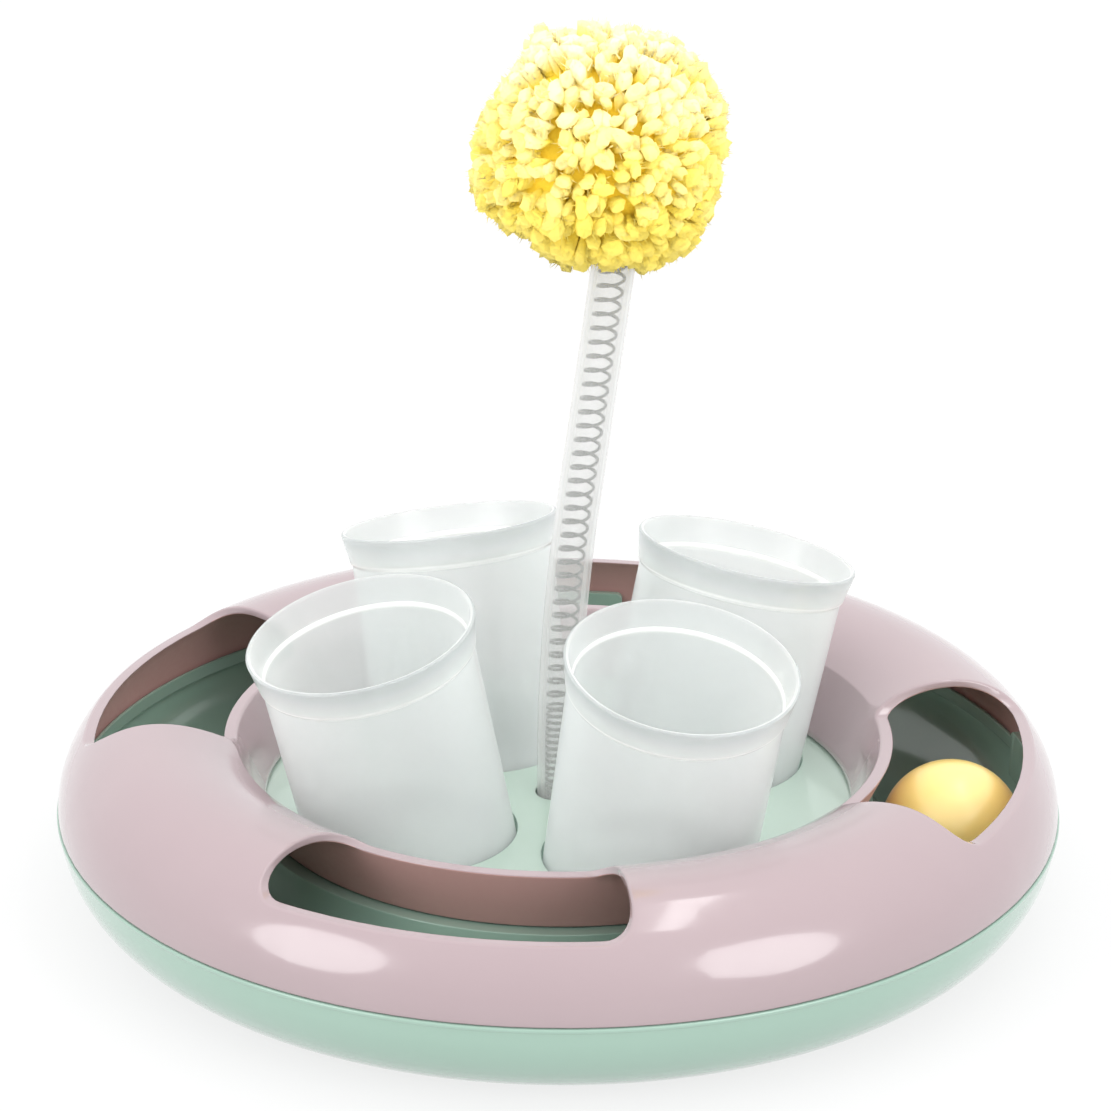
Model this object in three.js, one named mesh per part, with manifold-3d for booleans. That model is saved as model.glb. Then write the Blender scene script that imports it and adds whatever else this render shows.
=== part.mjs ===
// Cat ball track toy: a ring-shaped ball track with four windows, four leaning snack cups in the
// middle and a sprung pompom wand. Millimetres, +Z up, origin on the ring's axis at the floor.
import * as THREE from "three";
import { mergeVertices } from "three/addons/utils/BufferGeometryUtils.js";
import Module from "manifold-3d";

// Fits and facets
const FIT = 0.3; // gap kept between neighbouring pieces
const WELD = 1e-4; // corners nearer than this are one corner
const RING_FACETS = 60; // round the ring
const TUBE_STEPS = 12; // along half of the tube's section
const CUP_FACETS = 28;
const PIN_FACETS = 16; // small round pieces
const CORNER_STEPS = 3; // along a small rounding

// Track tube, tray below and cover above the seam
const TUBE_R = 23; // outside radius of the track tube
const SHELL = 2; // wall of tray and cover
const LIP_INSET = 3.5; // basin lip inside the tube's inner side
const LIP_H = 1.6; // upright lip at the foot of the basin wall
const BASIN_WALL = 2.8; // wall of the sloping basin
const SHOULDER_REACH = 19.7; // crest of the cover to the basin's edge, level
const SHOULDER_DROP = 6.7; // crest of the cover to the basin's edge, down
const PLATE_DROP = 0.5; // centre plate below the seam
const PLATE_T = 2.2;
const PLATE_MARGIN = 3.9; // plate left between the cup sockets and the basin lip

// Windows in the cover
const WINDOW_COUNT = 4;
const WINDOW_HALF = THREE.MathUtils.degToRad(22.5);
const WINDOW_SILL = 16; // level sill above the seam
const WINDOW_CORNER_R = 6; // rounding between the sill and the window's ends

// Locating tabs of the tray, inside the cover beside the middle of each window
const TAB_FIRST = THREE.MathUtils.degToRad(15.9); // direction of the first tab's middle
const TAB_HALF = THREE.MathUtils.degToRad(10.6);
const TAB_H = 5.2; // above the seam
const TAB_T = 2;
const TAB_ROOT = 7; // below the seam
const TAB_CORNER_R = 2.2;

// Snack cups and their sockets
const CUP_COUNT = 4;
const CUP_FIRST = THREE.MathUtils.degToRad(45); // direction of the first cup
const CUP_H = 65; // foot to rim along the cup's own axis
const CUP_FOOT_R = 24.3; // outside radius at the foot
const CUP_NECK_R = 25.1; // outside radius under the rim band
const CUP_BAND_R = 25.7; // outside radius at the foot of the rim band
const CUP_RIM_R = 27; // outside radius at the rim
const CUP_BAND_H = 7.5;
const CUP_WALL = 1.2;
const CUP_CORNER_R = 2.5; // rounding round the foot
const CUP_LEAN = THREE.MathUtils.degToRad(13.5);
const CUP_SEAT = 11; // cup's foot below the plate, along the cup's axis
const SOCKET_PLAY = 0.6; // round the cup's foot
const SOCKET_WALL = 1.6;
const SOCKET_WEB = 1.3; // between the feet of neighbouring sockets

// Ball
const BALL_R = 17;
const BALL_FACETS = 20;
const BALL_AT = THREE.MathUtils.degToRad(4.5); // direction of the ball round the ring
const BALL_CLIMB = THREE.MathUtils.degToRad(33); // up the inner side of the channel

// Wand: sleeve, spring and the boss that holds them
const SLEEVE_R = 5.15;
const SLEEVE_WALL = 0.9;
const SLEEVE_RISE = 141.5; // top of the sleeve above the plate
const SLEEVE_SIDES = 12;
const SLEEVE_STEPS = 14;
const WAND_SEAT = 12; // bottom of the sleeve below the plate
const WAND_TOWARDS = THREE.MathUtils.degToRad(13.85); // the way the wand leans
const WAND_LEAN = THREE.MathUtils.degToRad(7.4); // lean of its straight upper part
const BEND_RISE = 8; // start of the bend above the plate
const BEND_H = 67; // height of the bend
const WIRE_D = 0.9;
const COIL_R = 3; // to the middle of the wire
const CLOSE_PITCH = 1.7; // close coils at the bottom
const CLOSE_RISE = 22; // end of the close coils above the plate
const OPEN_PITCH = 3.4;
const CURL_STEPS = 8;
const WIRE_SIDES = 5;
const BOSS_WALL = 2.6;
const BOSS_SKIRT = 4; // boss below the bottom of the sleeve
const PLUG_FLANGE_T = 1.6;
const SPIGOT_L = 7; // spigots inside the two ends of the spring

// Pompom and what binds it to the wand
const POMPOM_R = 28;
const POMPOM_RISE = 17.5; // middle of the pompom above the top of the sleeve
const POMPOM_ASIDE = 7; // middle of the pompom back from the wand's line
const POMPOM_FACETS = 24;
const TIP_FLANGE_T = 1.5;
const TIP_NECK_R = 2.6;
const TIP_NECK_L = 3;
const TIP_KNOB_R = 4.4;
const TIP_KNOB_T = 2;
const TIE_R = 0.9; // half the thickness of the binding ring

// Feet under the ring
const FOOT_COUNT = 4;
const FOOT_FIRST = THREE.MathUtils.degToRad(45);
const FOOT_R = 5;
const FOOT_T = 1.6;
const FOOT_PROUD = 0.6; // below the tube
const FOOT_INSET = 7; // inside the middle of the tube
const FOOT_RIM = 1.4; // wall round a foot's pocket

// Worked-out sizes
const channelR = TUBE_R - SHELL;
const seamZ = FOOT_PROUD + TUBE_R;
const seamHalf = FIT / 2; // half of the gap at the seam
const plateZ = seamZ - PLATE_DROP;
const crestZ = seamZ + TUBE_R;
const socketR = CUP_FOOT_R + SOCKET_PLAY;
const socketOutR = socketR + SOCKET_WALL;
const cupFootR = (socketOutR + SOCKET_WEB / 2) / Math.sin(Math.PI / CUP_COUNT);
const cupFootZ = plateZ - CUP_SEAT * Math.cos(CUP_LEAN);
const socketReach = cupFootR + CUP_SEAT * Math.sin(CUP_LEAN) + socketOutR / Math.cos(CUP_LEAN);
const lipR = socketReach + PLATE_MARGIN - SOCKET_WALL;
const ringR = lipR + LIP_INSET + TUBE_R;
const sleeveBottomZ = plateZ - WAND_SEAT;
const sleeveTopZ = plateZ + SLEEVE_RISE;
const boreR = SLEEVE_R + FIT;
const bossBottomZ = sleeveBottomZ - BOSS_SKIRT;
const spigotR = COIL_R * Math.cos(Math.PI / CURL_STEPS) - WIRE_D / 2 - FIT;

const wasm = await Module();
wasm.setup();

// A geometry as one closed surface facing out: shared corners merged, empty triangles dropped
function closed(geometry) {
  geometry.deleteAttribute("normal");
  geometry.deleteAttribute("uv");
  const merged = mergeVertices(geometry, WELD);
  const corners = merged.index.array;
  const at = (i) => new THREE.Vector3().fromBufferAttribute(merged.attributes.position, i);
  const kept = [];
  let volume = 0;
  for (let i = 0; i < corners.length; i += 3) {
    const [a, b, c] = corners.subarray(i, i + 3);
    if (a === b || b === c || c === a) continue;
    kept.push([a, b, c]);
    volume += at(a).dot(at(b).cross(at(c)));
  }
  const facing = volume < 0 ? kept.map(([a, b, c]) => [a, c, b]) : kept;
  return merged.setIndex(facing.flat());
}

// Manifold solid of a geometry, and geometry of a solid
function solid(geometry) {
  const shell = closed(geometry);
  const vertProperties = new Float32Array(shell.attributes.position.array);
  const triVerts = new Uint32Array(shell.index.array);
  return new wasm.Manifold(new wasm.Mesh({ numProp: 3, vertProperties, triVerts }));
}

function geometryOf(body) {
  const { vertProperties, triVerts } = body.getMesh();
  const geometry = new THREE.BufferGeometry();
  geometry.setAttribute("position", new THREE.BufferAttribute(vertProperties, 3));
  geometry.setIndex(new THREE.BufferAttribute(triVerts, 1));
  return geometry;
}

// Named mesh with its finish
function piece(name, geometry, finish) {
  const mesh = new THREE.Mesh(geometry, new THREE.MeshStandardMaterial(finish));
  mesh.name = name;
  return mesh;
}

// Profile helpers: a point, an arc, and the far meeting of a line with a circle
const point = (r, z) => new THREE.Vector2(r, z);

function arc(middle, radius, from, to, steps) {
  return Array.from({ length: steps + 1 }, (_, i) => {
    const a = THREE.MathUtils.lerp(from, to, i / steps);
    return point(middle.x + radius * Math.cos(a), middle.y + radius * Math.sin(a));
  });
}

function lineMeetsCircle(start, along, middle, radius) {
  const to = start.clone().sub(middle);
  const half = to.dot(along);
  const run = Math.sqrt(half * half - to.lengthSq() + radius * radius) - half;
  return start.clone().addScaledVector(along, run);
}

// Solids of revolution about Z, and an upright cylinder between two heights
function revolved(profile, facets) {
  return closed(new THREE.LatheGeometry(profile, facets).rotateX(Math.PI / 2));
}

function cylinder(radius, bottom, top, facets) {
  const round = new THREE.CylinderGeometry(radius, radius, top - bottom, facets);
  return round.rotateX(Math.PI / 2).translate(0, 0, (top + bottom) / 2);
}

// Prism whose outline lies round the ring: x of the outline is length along the ring's middle line
// from the given direction, y is height, and the prism runs from one radius to another
function ringPrism(outline, fromR, toR, direction) {
  const prism = new THREE.ExtrudeGeometry(outline, {
    depth: toR - fromR,
    bevelEnabled: false,
    curveSegments: CORNER_STEPS,
  });
  const places = prism.attributes.position;
  for (let i = 0; i < places.count; i++) {
    const angle = direction + places.getX(i) / ringR;
    const r = fromR + places.getZ(i);
    places.setXYZ(i, r * Math.cos(angle), r * Math.sin(angle), places.getY(i));
  }
  return prism;
}

// Directions of what repeats round the ring
const around = (count, first) =>
  Array.from({ length: count }, (_, i) => first + (i * 2 * Math.PI) / count);

const tubeMiddle = point(ringR, seamZ);

// Section of the tray: lower half of the tube and the centre plate
function traySection() {
  const under = plateZ - PLATE_T;
  const outerStart = Math.PI + Math.asin((seamZ - under) / TUBE_R);
  const outerEnd = 2 * Math.PI - Math.asin(seamHalf / TUBE_R);
  const innerStart = 2 * Math.PI - Math.asin(seamHalf / channelR);
  const innerEnd = Math.PI + Math.asin(PLATE_DROP / channelR);
  return [
    point(0, under),
    ...arc(tubeMiddle, TUBE_R, outerStart, outerEnd, TUBE_STEPS),
    ...arc(tubeMiddle, channelR, innerStart, innerEnd, TUBE_STEPS),
    point(0, plateZ),
  ];
}

// Section of the cover: outer wall, crown, shoulder and the sloping basin wall with its lip
function coverSection() {
  const shoulderR = (SHOULDER_REACH ** 2 + SHOULDER_DROP ** 2) / (2 * SHOULDER_DROP);
  const shoulderMiddle = point(ringR, crestZ - shoulderR);
  const shoulderTurn = Math.asin(SHOULDER_REACH / shoulderR);
  const edge = point(ringR - SHOULDER_REACH, crestZ - SHOULDER_DROP);
  const lipBottom = plateZ + FIT;
  const lipTop = point(lipR, lipBottom + LIP_H);
  const slope = edge.clone().sub(lipTop).normalize();
  const back = lipTop.clone().add(point(slope.y, -slope.x).multiplyScalar(BASIN_WALL));
  const backFoot = back.clone().addScaledVector(slope, (lipBottom - back.y) / slope.y);
  const backTop = lineMeetsCircle(back, slope, shoulderMiddle, shoulderR - SHELL);
  const backTurn = Math.acos((backTop.x - ringR) / (shoulderR - SHELL));
  const up = Math.PI / 2;
  const start = Math.asin(seamHalf / TUBE_R);
  const end = Math.asin(seamHalf / channelR);
  const rim = arc(tubeMiddle, TUBE_R, start, up, TUBE_STEPS / 2);
  return [
    ...rim,
    ...arc(shoulderMiddle, shoulderR, up, up + shoulderTurn, CORNER_STEPS).slice(1),
    lipTop,
    point(lipR, lipBottom),
    backFoot,
    ...arc(shoulderMiddle, shoulderR - SHELL, backTurn, up, CORNER_STEPS),
    ...arc(tubeMiddle, channelR, up, end, TUBE_STEPS / 2).slice(1),
    rim[0],
  ];
}

// Outline of a window's cut: level sill, rounded corners, straight ends up past the crest
function windowOutline() {
  const half = WINDOW_HALF * ringR;
  const sill = seamZ + WINDOW_SILL;
  const above = crestZ + TUBE_R;
  const bend = half - WINDOW_CORNER_R;
  const outline = new THREE.Shape();
  outline.moveTo(half, above).lineTo(-half, above);
  outline.absarc(-bend, sill + WINDOW_CORNER_R, WINDOW_CORNER_R, Math.PI, 1.5 * Math.PI);
  outline.absarc(bend, sill + WINDOW_CORNER_R, WINDOW_CORNER_R, 1.5 * Math.PI, 2 * Math.PI);
  return outline;
}

function trackCover() {
  let cover = solid(revolved(coverSection(), RING_FACETS));
  for (const direction of around(WINDOW_COUNT, 0)) {
    const cut = ringPrism(windowOutline(), lipR, ringR + 2 * TUBE_R, direction);
    cover = cover.subtract(solid(cut));
  }
  return geometryOf(cover);
}

// Locating tabs: a ring with an upright inside the cover, left standing only at the tabs
function tabs() {
  const top = seamZ + TAB_H;
  const root = seamZ - TAB_ROOT;
  const rootTop = seamZ - TAB_T;
  const rootR = ringR + TUBE_R - SHELL / 2;
  const outR = ringR + Math.sqrt(channelR ** 2 - TAB_H ** 2) - FIT;
  const inR = outR - TAB_T;
  const section = [
    point(inR, root),
    point(rootR - TAB_T, root),
    point(rootR, rootTop),
    point(outR, rootTop),
    point(outR, top),
    point(inR, top),
    point(inR, root),
  ];
  const ring = solid(revolved(section, RING_FACETS));
  const half = TAB_HALF * ringR;
  const bend = half - TAB_CORNER_R;
  const outline = new THREE.Shape();
  outline.moveTo(-half, root).lineTo(half, root);
  outline.absarc(bend, top - TAB_CORNER_R, TAB_CORNER_R, 0, Math.PI / 2);
  outline.absarc(-bend, top - TAB_CORNER_R, TAB_CORNER_R, Math.PI / 2, Math.PI);
  return around(WINDOW_COUNT, TAB_FIRST).map((direction) =>
    ring.intersect(solid(ringPrism(outline, ringR, ringR + 2 * TUBE_R, direction))),
  );
}

// Frame of a cup: origin at the middle of its foot, Z along its leaning axis
function cupFrame(direction) {
  return new THREE.Matrix4()
    .makeRotationZ(direction)
    .multiply(new THREE.Matrix4().makeTranslation(cupFootR, 0, cupFootZ))
    .multiply(new THREE.Matrix4().makeRotationY(CUP_LEAN));
}

// Frame of a foot: origin on the floor under the tube
function footFrame(direction) {
  return new THREE.Matrix4()
    .makeRotationZ(direction)
    .multiply(new THREE.Matrix4().makeTranslation(ringR - FOOT_INSET, 0, 0));
}

function baseTray() {
  let tray = solid(revolved(traySection(), RING_FACETS));
  for (const tab of tabs()) tray = tray.add(tab);

  // Leaning sockets, trimmed level inside the plate, then hollowed out for the cups
  const floorZ = -FIT - SOCKET_WALL;
  const abovePlate = solid(cylinder(ringR, plateZ - PLATE_T / 2, plateZ + CUP_H, RING_FACETS));
  for (const direction of around(CUP_COUNT, CUP_FIRST)) {
    const skin = cylinder(socketOutR, floorZ, CUP_H, CUP_FACETS);
    tray = tray.add(solid(skin.applyMatrix4(cupFrame(direction))).subtract(abovePlate));
  }
  for (const direction of around(CUP_COUNT, CUP_FIRST)) {
    const hollow = cylinder(socketR, -FIT, CUP_H, CUP_FACETS);
    tray = tray.subtract(solid(hollow.applyMatrix4(cupFrame(direction))));
  }

  // Boss for the wand
  const boss = cylinder(boreR + BOSS_WALL, bossBottomZ, plateZ - PLATE_T / 2, PIN_FACETS);
  const bore = cylinder(boreR, bossBottomZ - SHELL, plateZ + SHELL, PIN_FACETS);
  tray = tray.add(solid(boss)).subtract(solid(bore));

  // Bosses and pockets for the feet, which end inside the tube's wall
  const tubeCore = solid(
    new THREE.TorusGeometry(ringR, TUBE_R - SHELL / 2, 2 * TUBE_STEPS, RING_FACETS)
      .translate(0, 0, seamZ),
  );
  const pocketR = FOOT_R + FIT;
  for (const direction of around(FOOT_COUNT, FOOT_FIRST)) {
    const frame = footFrame(direction);
    const post = cylinder(pocketR + FOOT_RIM, FOOT_PROUD, seamZ, PIN_FACETS).applyMatrix4(frame);
    tray = tray.add(solid(post).subtract(tubeCore));
  }
  for (const direction of around(FOOT_COUNT, FOOT_FIRST)) {
    const pocket = cylinder(pocketR, 0, FOOT_T + FIT, PIN_FACETS);
    tray = tray.subtract(solid(pocket.applyMatrix4(footFrame(direction))));
  }
  return geometryOf(tray);
}

// Thin-walled cup: rounded foot, slightly widening body, flared rim band with a ledge inside it
function cupGeometry() {
  const bandZ = CUP_H - CUP_BAND_H;
  const corner = point(CUP_FOOT_R - CUP_CORNER_R, CUP_CORNER_R);
  const inside = CUP_CORNER_R - CUP_WALL;
  const down = -Math.PI / 2;
  const profile = [
    point(0, 0),
    ...arc(corner, CUP_CORNER_R, down, 0, CORNER_STEPS),
    point(CUP_NECK_R, bandZ - CUP_WALL / 2),
    point(CUP_BAND_R, bandZ),
    point(CUP_RIM_R, CUP_H),
    point(CUP_RIM_R - CUP_WALL, CUP_H),
    point(CUP_BAND_R - CUP_WALL, bandZ + CUP_WALL),
    point(CUP_NECK_R - CUP_WALL, bandZ + CUP_WALL / 2),
    ...arc(corner, inside, 0, down, CORNER_STEPS),
    point(0, CUP_WALL),
  ];
  return revolved(profile, CUP_FACETS);
}

// Line of the wand in its own frame: upright, then an even bend towards +X, then straight
const leanSlope = Math.tan(WAND_LEAN);

function wandAside(z) {
  const bent = z - plateZ - BEND_RISE;
  if (bent <= 0) return 0;
  if (bent < BEND_H) return (leanSlope * bent ** 2) / (2 * BEND_H);
  return leanSlope * (bent - BEND_H / 2);
}

function wandSlope(z) {
  const bent = z - plateZ - BEND_RISE;
  return leanSlope * THREE.MathUtils.clamp(bent / BEND_H, 0, 1);
}

class WandLine extends THREE.Curve {
  constructor(bottomZ, topZ) {
    super();
    this.bottomZ = bottomZ;
    this.topZ = topZ;
  }

  getPoint(t, target = new THREE.Vector3()) {
    const z = THREE.MathUtils.lerp(this.bottomZ, this.topZ, t);
    return target.set(wandAside(z), 0, z);
  }
}

function sleeveGeometry() {
  const ring = new THREE.Shape().absarc(0, 0, SLEEVE_R, 0, 2 * Math.PI);
  ring.holes.push(new THREE.Path().absarc(0, 0, SLEEVE_R - SLEEVE_WALL, 0, 2 * Math.PI, true));
  const tube = new THREE.ExtrudeGeometry(ring, {
    steps: SLEEVE_STEPS,
    curveSegments: SLEEVE_SIDES / 2,
    extrudePath: new WandLine(sleeveBottomZ, sleeveTopZ),
  });
  return closed(tube);
}

// Middle line of the spring's wire: close coils, then open coils, each end straight for one wire
function springLine() {
  const bottomZ = sleeveBottomZ + WIRE_D;
  const topZ = sleeveTopZ - WIRE_D;
  const closeZ = plateZ + CLOSE_RISE;
  const closeTurns = (closeZ - bottomZ) / CLOSE_PITCH;
  const turns = closeTurns + (topZ - closeZ) / OPEN_PITCH;
  const steps = Math.round(turns * CURL_STEPS);
  const along = (z) => new THREE.Vector3(wandSlope(z), 0, 1).normalize();
  const coil = Array.from({ length: steps + 1 }, (_, i) => {
    const turn = (turns * i) / steps;
    const open = Math.max(turn - closeTurns, 0);
    const z = bottomZ + Math.min(turn, closeTurns) * CLOSE_PITCH + open * OPEN_PITCH;
    const lean = along(z);
    const angle = 2 * Math.PI * turn;
    const across = new THREE.Vector3(lean.z, 0, -lean.x).multiplyScalar(COIL_R * Math.cos(angle));
    return new THREE.Vector3(wandAside(z), COIL_R * Math.sin(angle), z).add(across);
  });
  const first = coil[0].clone().addScaledVector(along(bottomZ), -WIRE_D);
  const last = coil[steps].clone().addScaledVector(along(topZ), WIRE_D);
  return [first, ...coil, last];
}

// Least clear gap between one curl of a line and the next, for a round wire
function leastGap(line) {
  let least = Infinity;
  for (let i = 0; i < line.length; i++) {
    const reach = Math.min(line.length, i + 3 * CURL_STEPS);
    for (let j = i + CURL_STEPS / 2; j < reach; j++) {
      least = Math.min(least, line[i].distanceTo(line[j]));
    }
  }
  return least - WIRE_D;
}

// Round wire along a line of points, with its section carried on from step to step untwisted
function wireGeometry(line) {
  const last = line.length - 1;
  const places = [];
  const faces = [];
  const side = new THREE.Vector3(1, 0, 0);
  line.forEach((at, i) => {
    const next = line[Math.min(i + 1, last)].clone().sub(at).normalize();
    const before = at.clone().sub(line[Math.max(i - 1, 0)]).normalize();
    const along = next.add(before).normalize();
    side.addScaledVector(along, -side.dot(along)).normalize();
    const other = along.clone().cross(side);
    for (let k = 0; k < WIRE_SIDES; k++) {
      const a = (2 * Math.PI * k) / WIRE_SIDES;
      const out = side.clone().multiplyScalar(Math.cos(a)).addScaledVector(other, Math.sin(a));
      places.push(...at.clone().addScaledVector(out, WIRE_D / 2).toArray());
      if (i === last) continue;
      const here = i * WIRE_SIDES + k;
      const beside = i * WIRE_SIDES + ((k + 1) % WIRE_SIDES);
      faces.push(here, beside, beside + WIRE_SIDES);
      faces.push(here, beside + WIRE_SIDES, here + WIRE_SIDES);
    }
  });
  const endRing = last * WIRE_SIDES;
  for (let k = 1; k < WIRE_SIDES - 1; k++) {
    faces.push(0, k + 1, k);
    faces.push(endRing, endRing + k, endRing + k + 1);
  }
  const wire = new THREE.BufferGeometry();
  wire.setAttribute("position", new THREE.Float32BufferAttribute(places, 3));
  wire.setIndex(faces);
  return closed(wire);
}

// Plug under the boss: flange, body in the bore and a spigot inside the spring
function plugGeometry() {
  const flangeTop = bossBottomZ - FIT;
  const shoulder = sleeveBottomZ - FIT;
  return revolved(
    [
      point(0, flangeTop - PLUG_FLANGE_T),
      point(boreR + BOSS_WALL, flangeTop - PLUG_FLANGE_T),
      point(boreR + BOSS_WALL, flangeTop),
      point(SLEEVE_R, flangeTop),
      point(SLEEVE_R, shoulder),
      point(spigotR, shoulder),
      point(spigotR, shoulder + SPIGOT_L),
      point(0, shoulder + SPIGOT_L),
    ],
    PIN_FACETS,
  );
}

// Tip on the sleeve's top, in the head's frame: spigot, flange, neck for the binding and knob
const neckBottom = FIT + TIP_FLANGE_T;
const knobBottom = neckBottom + TIP_NECK_L;
const tipTop = knobBottom + TIP_KNOB_T;

function tipGeometry() {
  return revolved(
    [
      point(0, FIT - SPIGOT_L),
      point(spigotR, FIT - SPIGOT_L),
      point(spigotR, FIT),
      point(SLEEVE_R, FIT),
      point(SLEEVE_R, neckBottom),
      point(TIP_NECK_R, neckBottom),
      point(TIP_NECK_R, knobBottom),
      point(TIP_KNOB_R, knobBottom),
      point(TIP_KNOB_R, tipTop),
      point(0, tipTop),
    ],
    PIN_FACETS,
  );
}

function tieGeometry() {
  const middle = point(TIP_NECK_R + FIT + TIE_R, (neckBottom + knobBottom) / 2);
  const loop = arc(middle, TIE_R, 0, 2 * Math.PI, 2 * CORNER_STEPS);
  loop[loop.length - 1] = loop[0];
  return revolved(loop, PIN_FACETS);
}

// Pompom: ball of yarn with a blind hole for the top of the wand
function pompomGeometry() {
  const ball = new THREE.SphereGeometry(POMPOM_R, POMPOM_FACETS, POMPOM_FACETS / 2);
  ball.rotateX(Math.PI / 2).translate(-POMPOM_ASIDE, 0, POMPOM_RISE);
  const hole = cylinder(boreR, POMPOM_RISE - 2 * POMPOM_R, tipTop + FIT, PIN_FACETS);
  return geometryOf(solid(ball).subtract(solid(hole)));
}

// Finishes
const MINT = { color: 0xb4cdc1, roughness: 0.3, metalness: 0 };
const PINK = { color: 0xd6c6ca, roughness: 0.25, metalness: 0 };
const FROSTED = { color: 0xdfe3e4, roughness: 0.5, metalness: 0, transparent: true, opacity: 0.6 };
const CLEAR = { color: 0xf2f4f4, roughness: 0.1, metalness: 0, transparent: true, opacity: 0.3 };
const STEEL = { color: 0xb9bcbe, roughness: 0.25, metalness: 1 };
const YELLOW = { color: 0xf8de85, roughness: 0.35, metalness: 0 };
const YARN = { color: 0xffe978, roughness: 1, metalness: 0 };
const WHITE = { color: 0xe9e9e6, roughness: 0.5, metalness: 0 };
const RUBBER = { color: 0xd9d9d6, roughness: 0.9, metalness: 0 };

const toy = new THREE.Group();
toy.add(piece("base_tray", baseTray(), MINT));
toy.add(piece("track_cover", trackCover(), PINK));

const CUP_NAMES = ["cup_back_right", "cup_back_left", "cup_front_left", "cup_front_right"];
around(CUP_COUNT, CUP_FIRST).forEach((direction, i) => {
  const cup = piece(CUP_NAMES[i], cupGeometry(), FROSTED);
  cup.applyMatrix4(cupFrame(direction));
  toy.add(cup);
});

const ballDrop = channelR - BALL_R - FIT; // middle of the ball from the middle of the tube
const ballR = ringR - ballDrop * Math.sin(BALL_CLIMB);
const ballZ = seamZ - ballDrop * Math.cos(BALL_CLIMB);
const ballGeometry = closed(new THREE.SphereGeometry(BALL_R, BALL_FACETS, BALL_FACETS / 2));
const ball = piece("track_ball", ballGeometry, YELLOW);
ball.position.set(ballR * Math.cos(BALL_AT), ballR * Math.sin(BALL_AT), ballZ);
toy.add(ball);

around(FOOT_COUNT, FOOT_FIRST).forEach((direction, i) => {
  const foot = piece(`foot_${i + 1}`, closed(cylinder(FOOT_R, 0, FOOT_T, PIN_FACETS)), RUBBER);
  foot.applyMatrix4(footFrame(direction));
  toy.add(foot);
});

const wand = new THREE.Group();
wand.rotation.z = WAND_TOWARDS;
const wire = springLine();
console.log(`spring: least gap between curls ${leastGap(wire).toFixed(2)} mm`);
wand.add(piece("wand_plug", plugGeometry(), WHITE));
wand.add(piece("wand_sleeve", sleeveGeometry(), CLEAR));
wand.add(piece("wand_spring", wireGeometry(wire), STEEL));

const head = new THREE.Group();
head.position.set(wandAside(sleeveTopZ), 0, sleeveTopZ);
head.rotation.y = WAND_LEAN;
head.add(piece("wand_tip", tipGeometry(), WHITE));
head.add(piece("pompom_tie", tieGeometry(), YARN));
head.add(piece("pompom", pompomGeometry(), YARN));
wand.add(head);
toy.add(wand);

export default toy;
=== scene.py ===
"""Looks of a cat ball track toy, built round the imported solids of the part.

A mint tray and a pink cover make a ring-shaped ball track with four windows. Four frosted snack
cups lean in the middle, and a yarn pompom sways on a coil spring in a clear sleeve.
Meshes are modelled in millimetres and brought to metres when a piece is finished.
"""

import logging
import math
import random
from bisect import bisect_left
from dataclasses import dataclass, field
from enum import Enum
from typing import Any, Iterable, Protocol, Sequence

import bmesh
import bpy
from bmesh.types import BMEdge, BMesh, BMVert
from mathutils import Euler, Matrix, Vector, noise
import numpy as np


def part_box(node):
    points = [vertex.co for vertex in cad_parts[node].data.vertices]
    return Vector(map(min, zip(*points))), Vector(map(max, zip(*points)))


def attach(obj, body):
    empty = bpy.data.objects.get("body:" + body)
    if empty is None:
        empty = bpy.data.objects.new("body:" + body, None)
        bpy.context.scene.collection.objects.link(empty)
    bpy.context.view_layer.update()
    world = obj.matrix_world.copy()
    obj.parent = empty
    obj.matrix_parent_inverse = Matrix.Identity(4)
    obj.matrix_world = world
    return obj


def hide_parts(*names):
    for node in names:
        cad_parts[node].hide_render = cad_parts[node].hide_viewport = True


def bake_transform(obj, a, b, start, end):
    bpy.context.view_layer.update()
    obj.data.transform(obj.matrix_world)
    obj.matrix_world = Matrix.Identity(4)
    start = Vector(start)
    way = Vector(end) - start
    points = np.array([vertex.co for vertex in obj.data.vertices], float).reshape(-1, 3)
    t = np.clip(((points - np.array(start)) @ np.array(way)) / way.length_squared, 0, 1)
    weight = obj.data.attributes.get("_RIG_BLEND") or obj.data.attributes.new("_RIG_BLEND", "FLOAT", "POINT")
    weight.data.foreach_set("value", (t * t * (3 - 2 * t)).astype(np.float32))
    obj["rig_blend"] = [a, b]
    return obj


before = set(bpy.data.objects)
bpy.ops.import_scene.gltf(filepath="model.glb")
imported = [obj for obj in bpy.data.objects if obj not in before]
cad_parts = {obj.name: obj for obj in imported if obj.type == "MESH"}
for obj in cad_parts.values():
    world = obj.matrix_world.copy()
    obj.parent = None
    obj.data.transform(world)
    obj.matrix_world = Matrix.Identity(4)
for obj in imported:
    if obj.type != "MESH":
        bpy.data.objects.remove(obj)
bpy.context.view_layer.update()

LOG = logging.getLogger("cat_toy")
MM = 0.001
FULL_TURN = 360.0
WHITE = (1.0, 1.0, 1.0, 1.0)
# Rounding of a plain moulded edge, and how close two places count as one, in millimetres
EDGE_ROUND = 0.3
NEAR = 0.01
# Angle in degrees past which an edge counts as sharp
CREASE = 45.0
# Part of a noise's range that carries a pattern, by the sockets of a Map Range node
NOISE_SPAN = {1: 0.3, 2: 0.7}
Point = tuple[float, float]
Pair = tuple[float, float]
Triple = tuple[float, float, float]


# Colour and nodes


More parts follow.
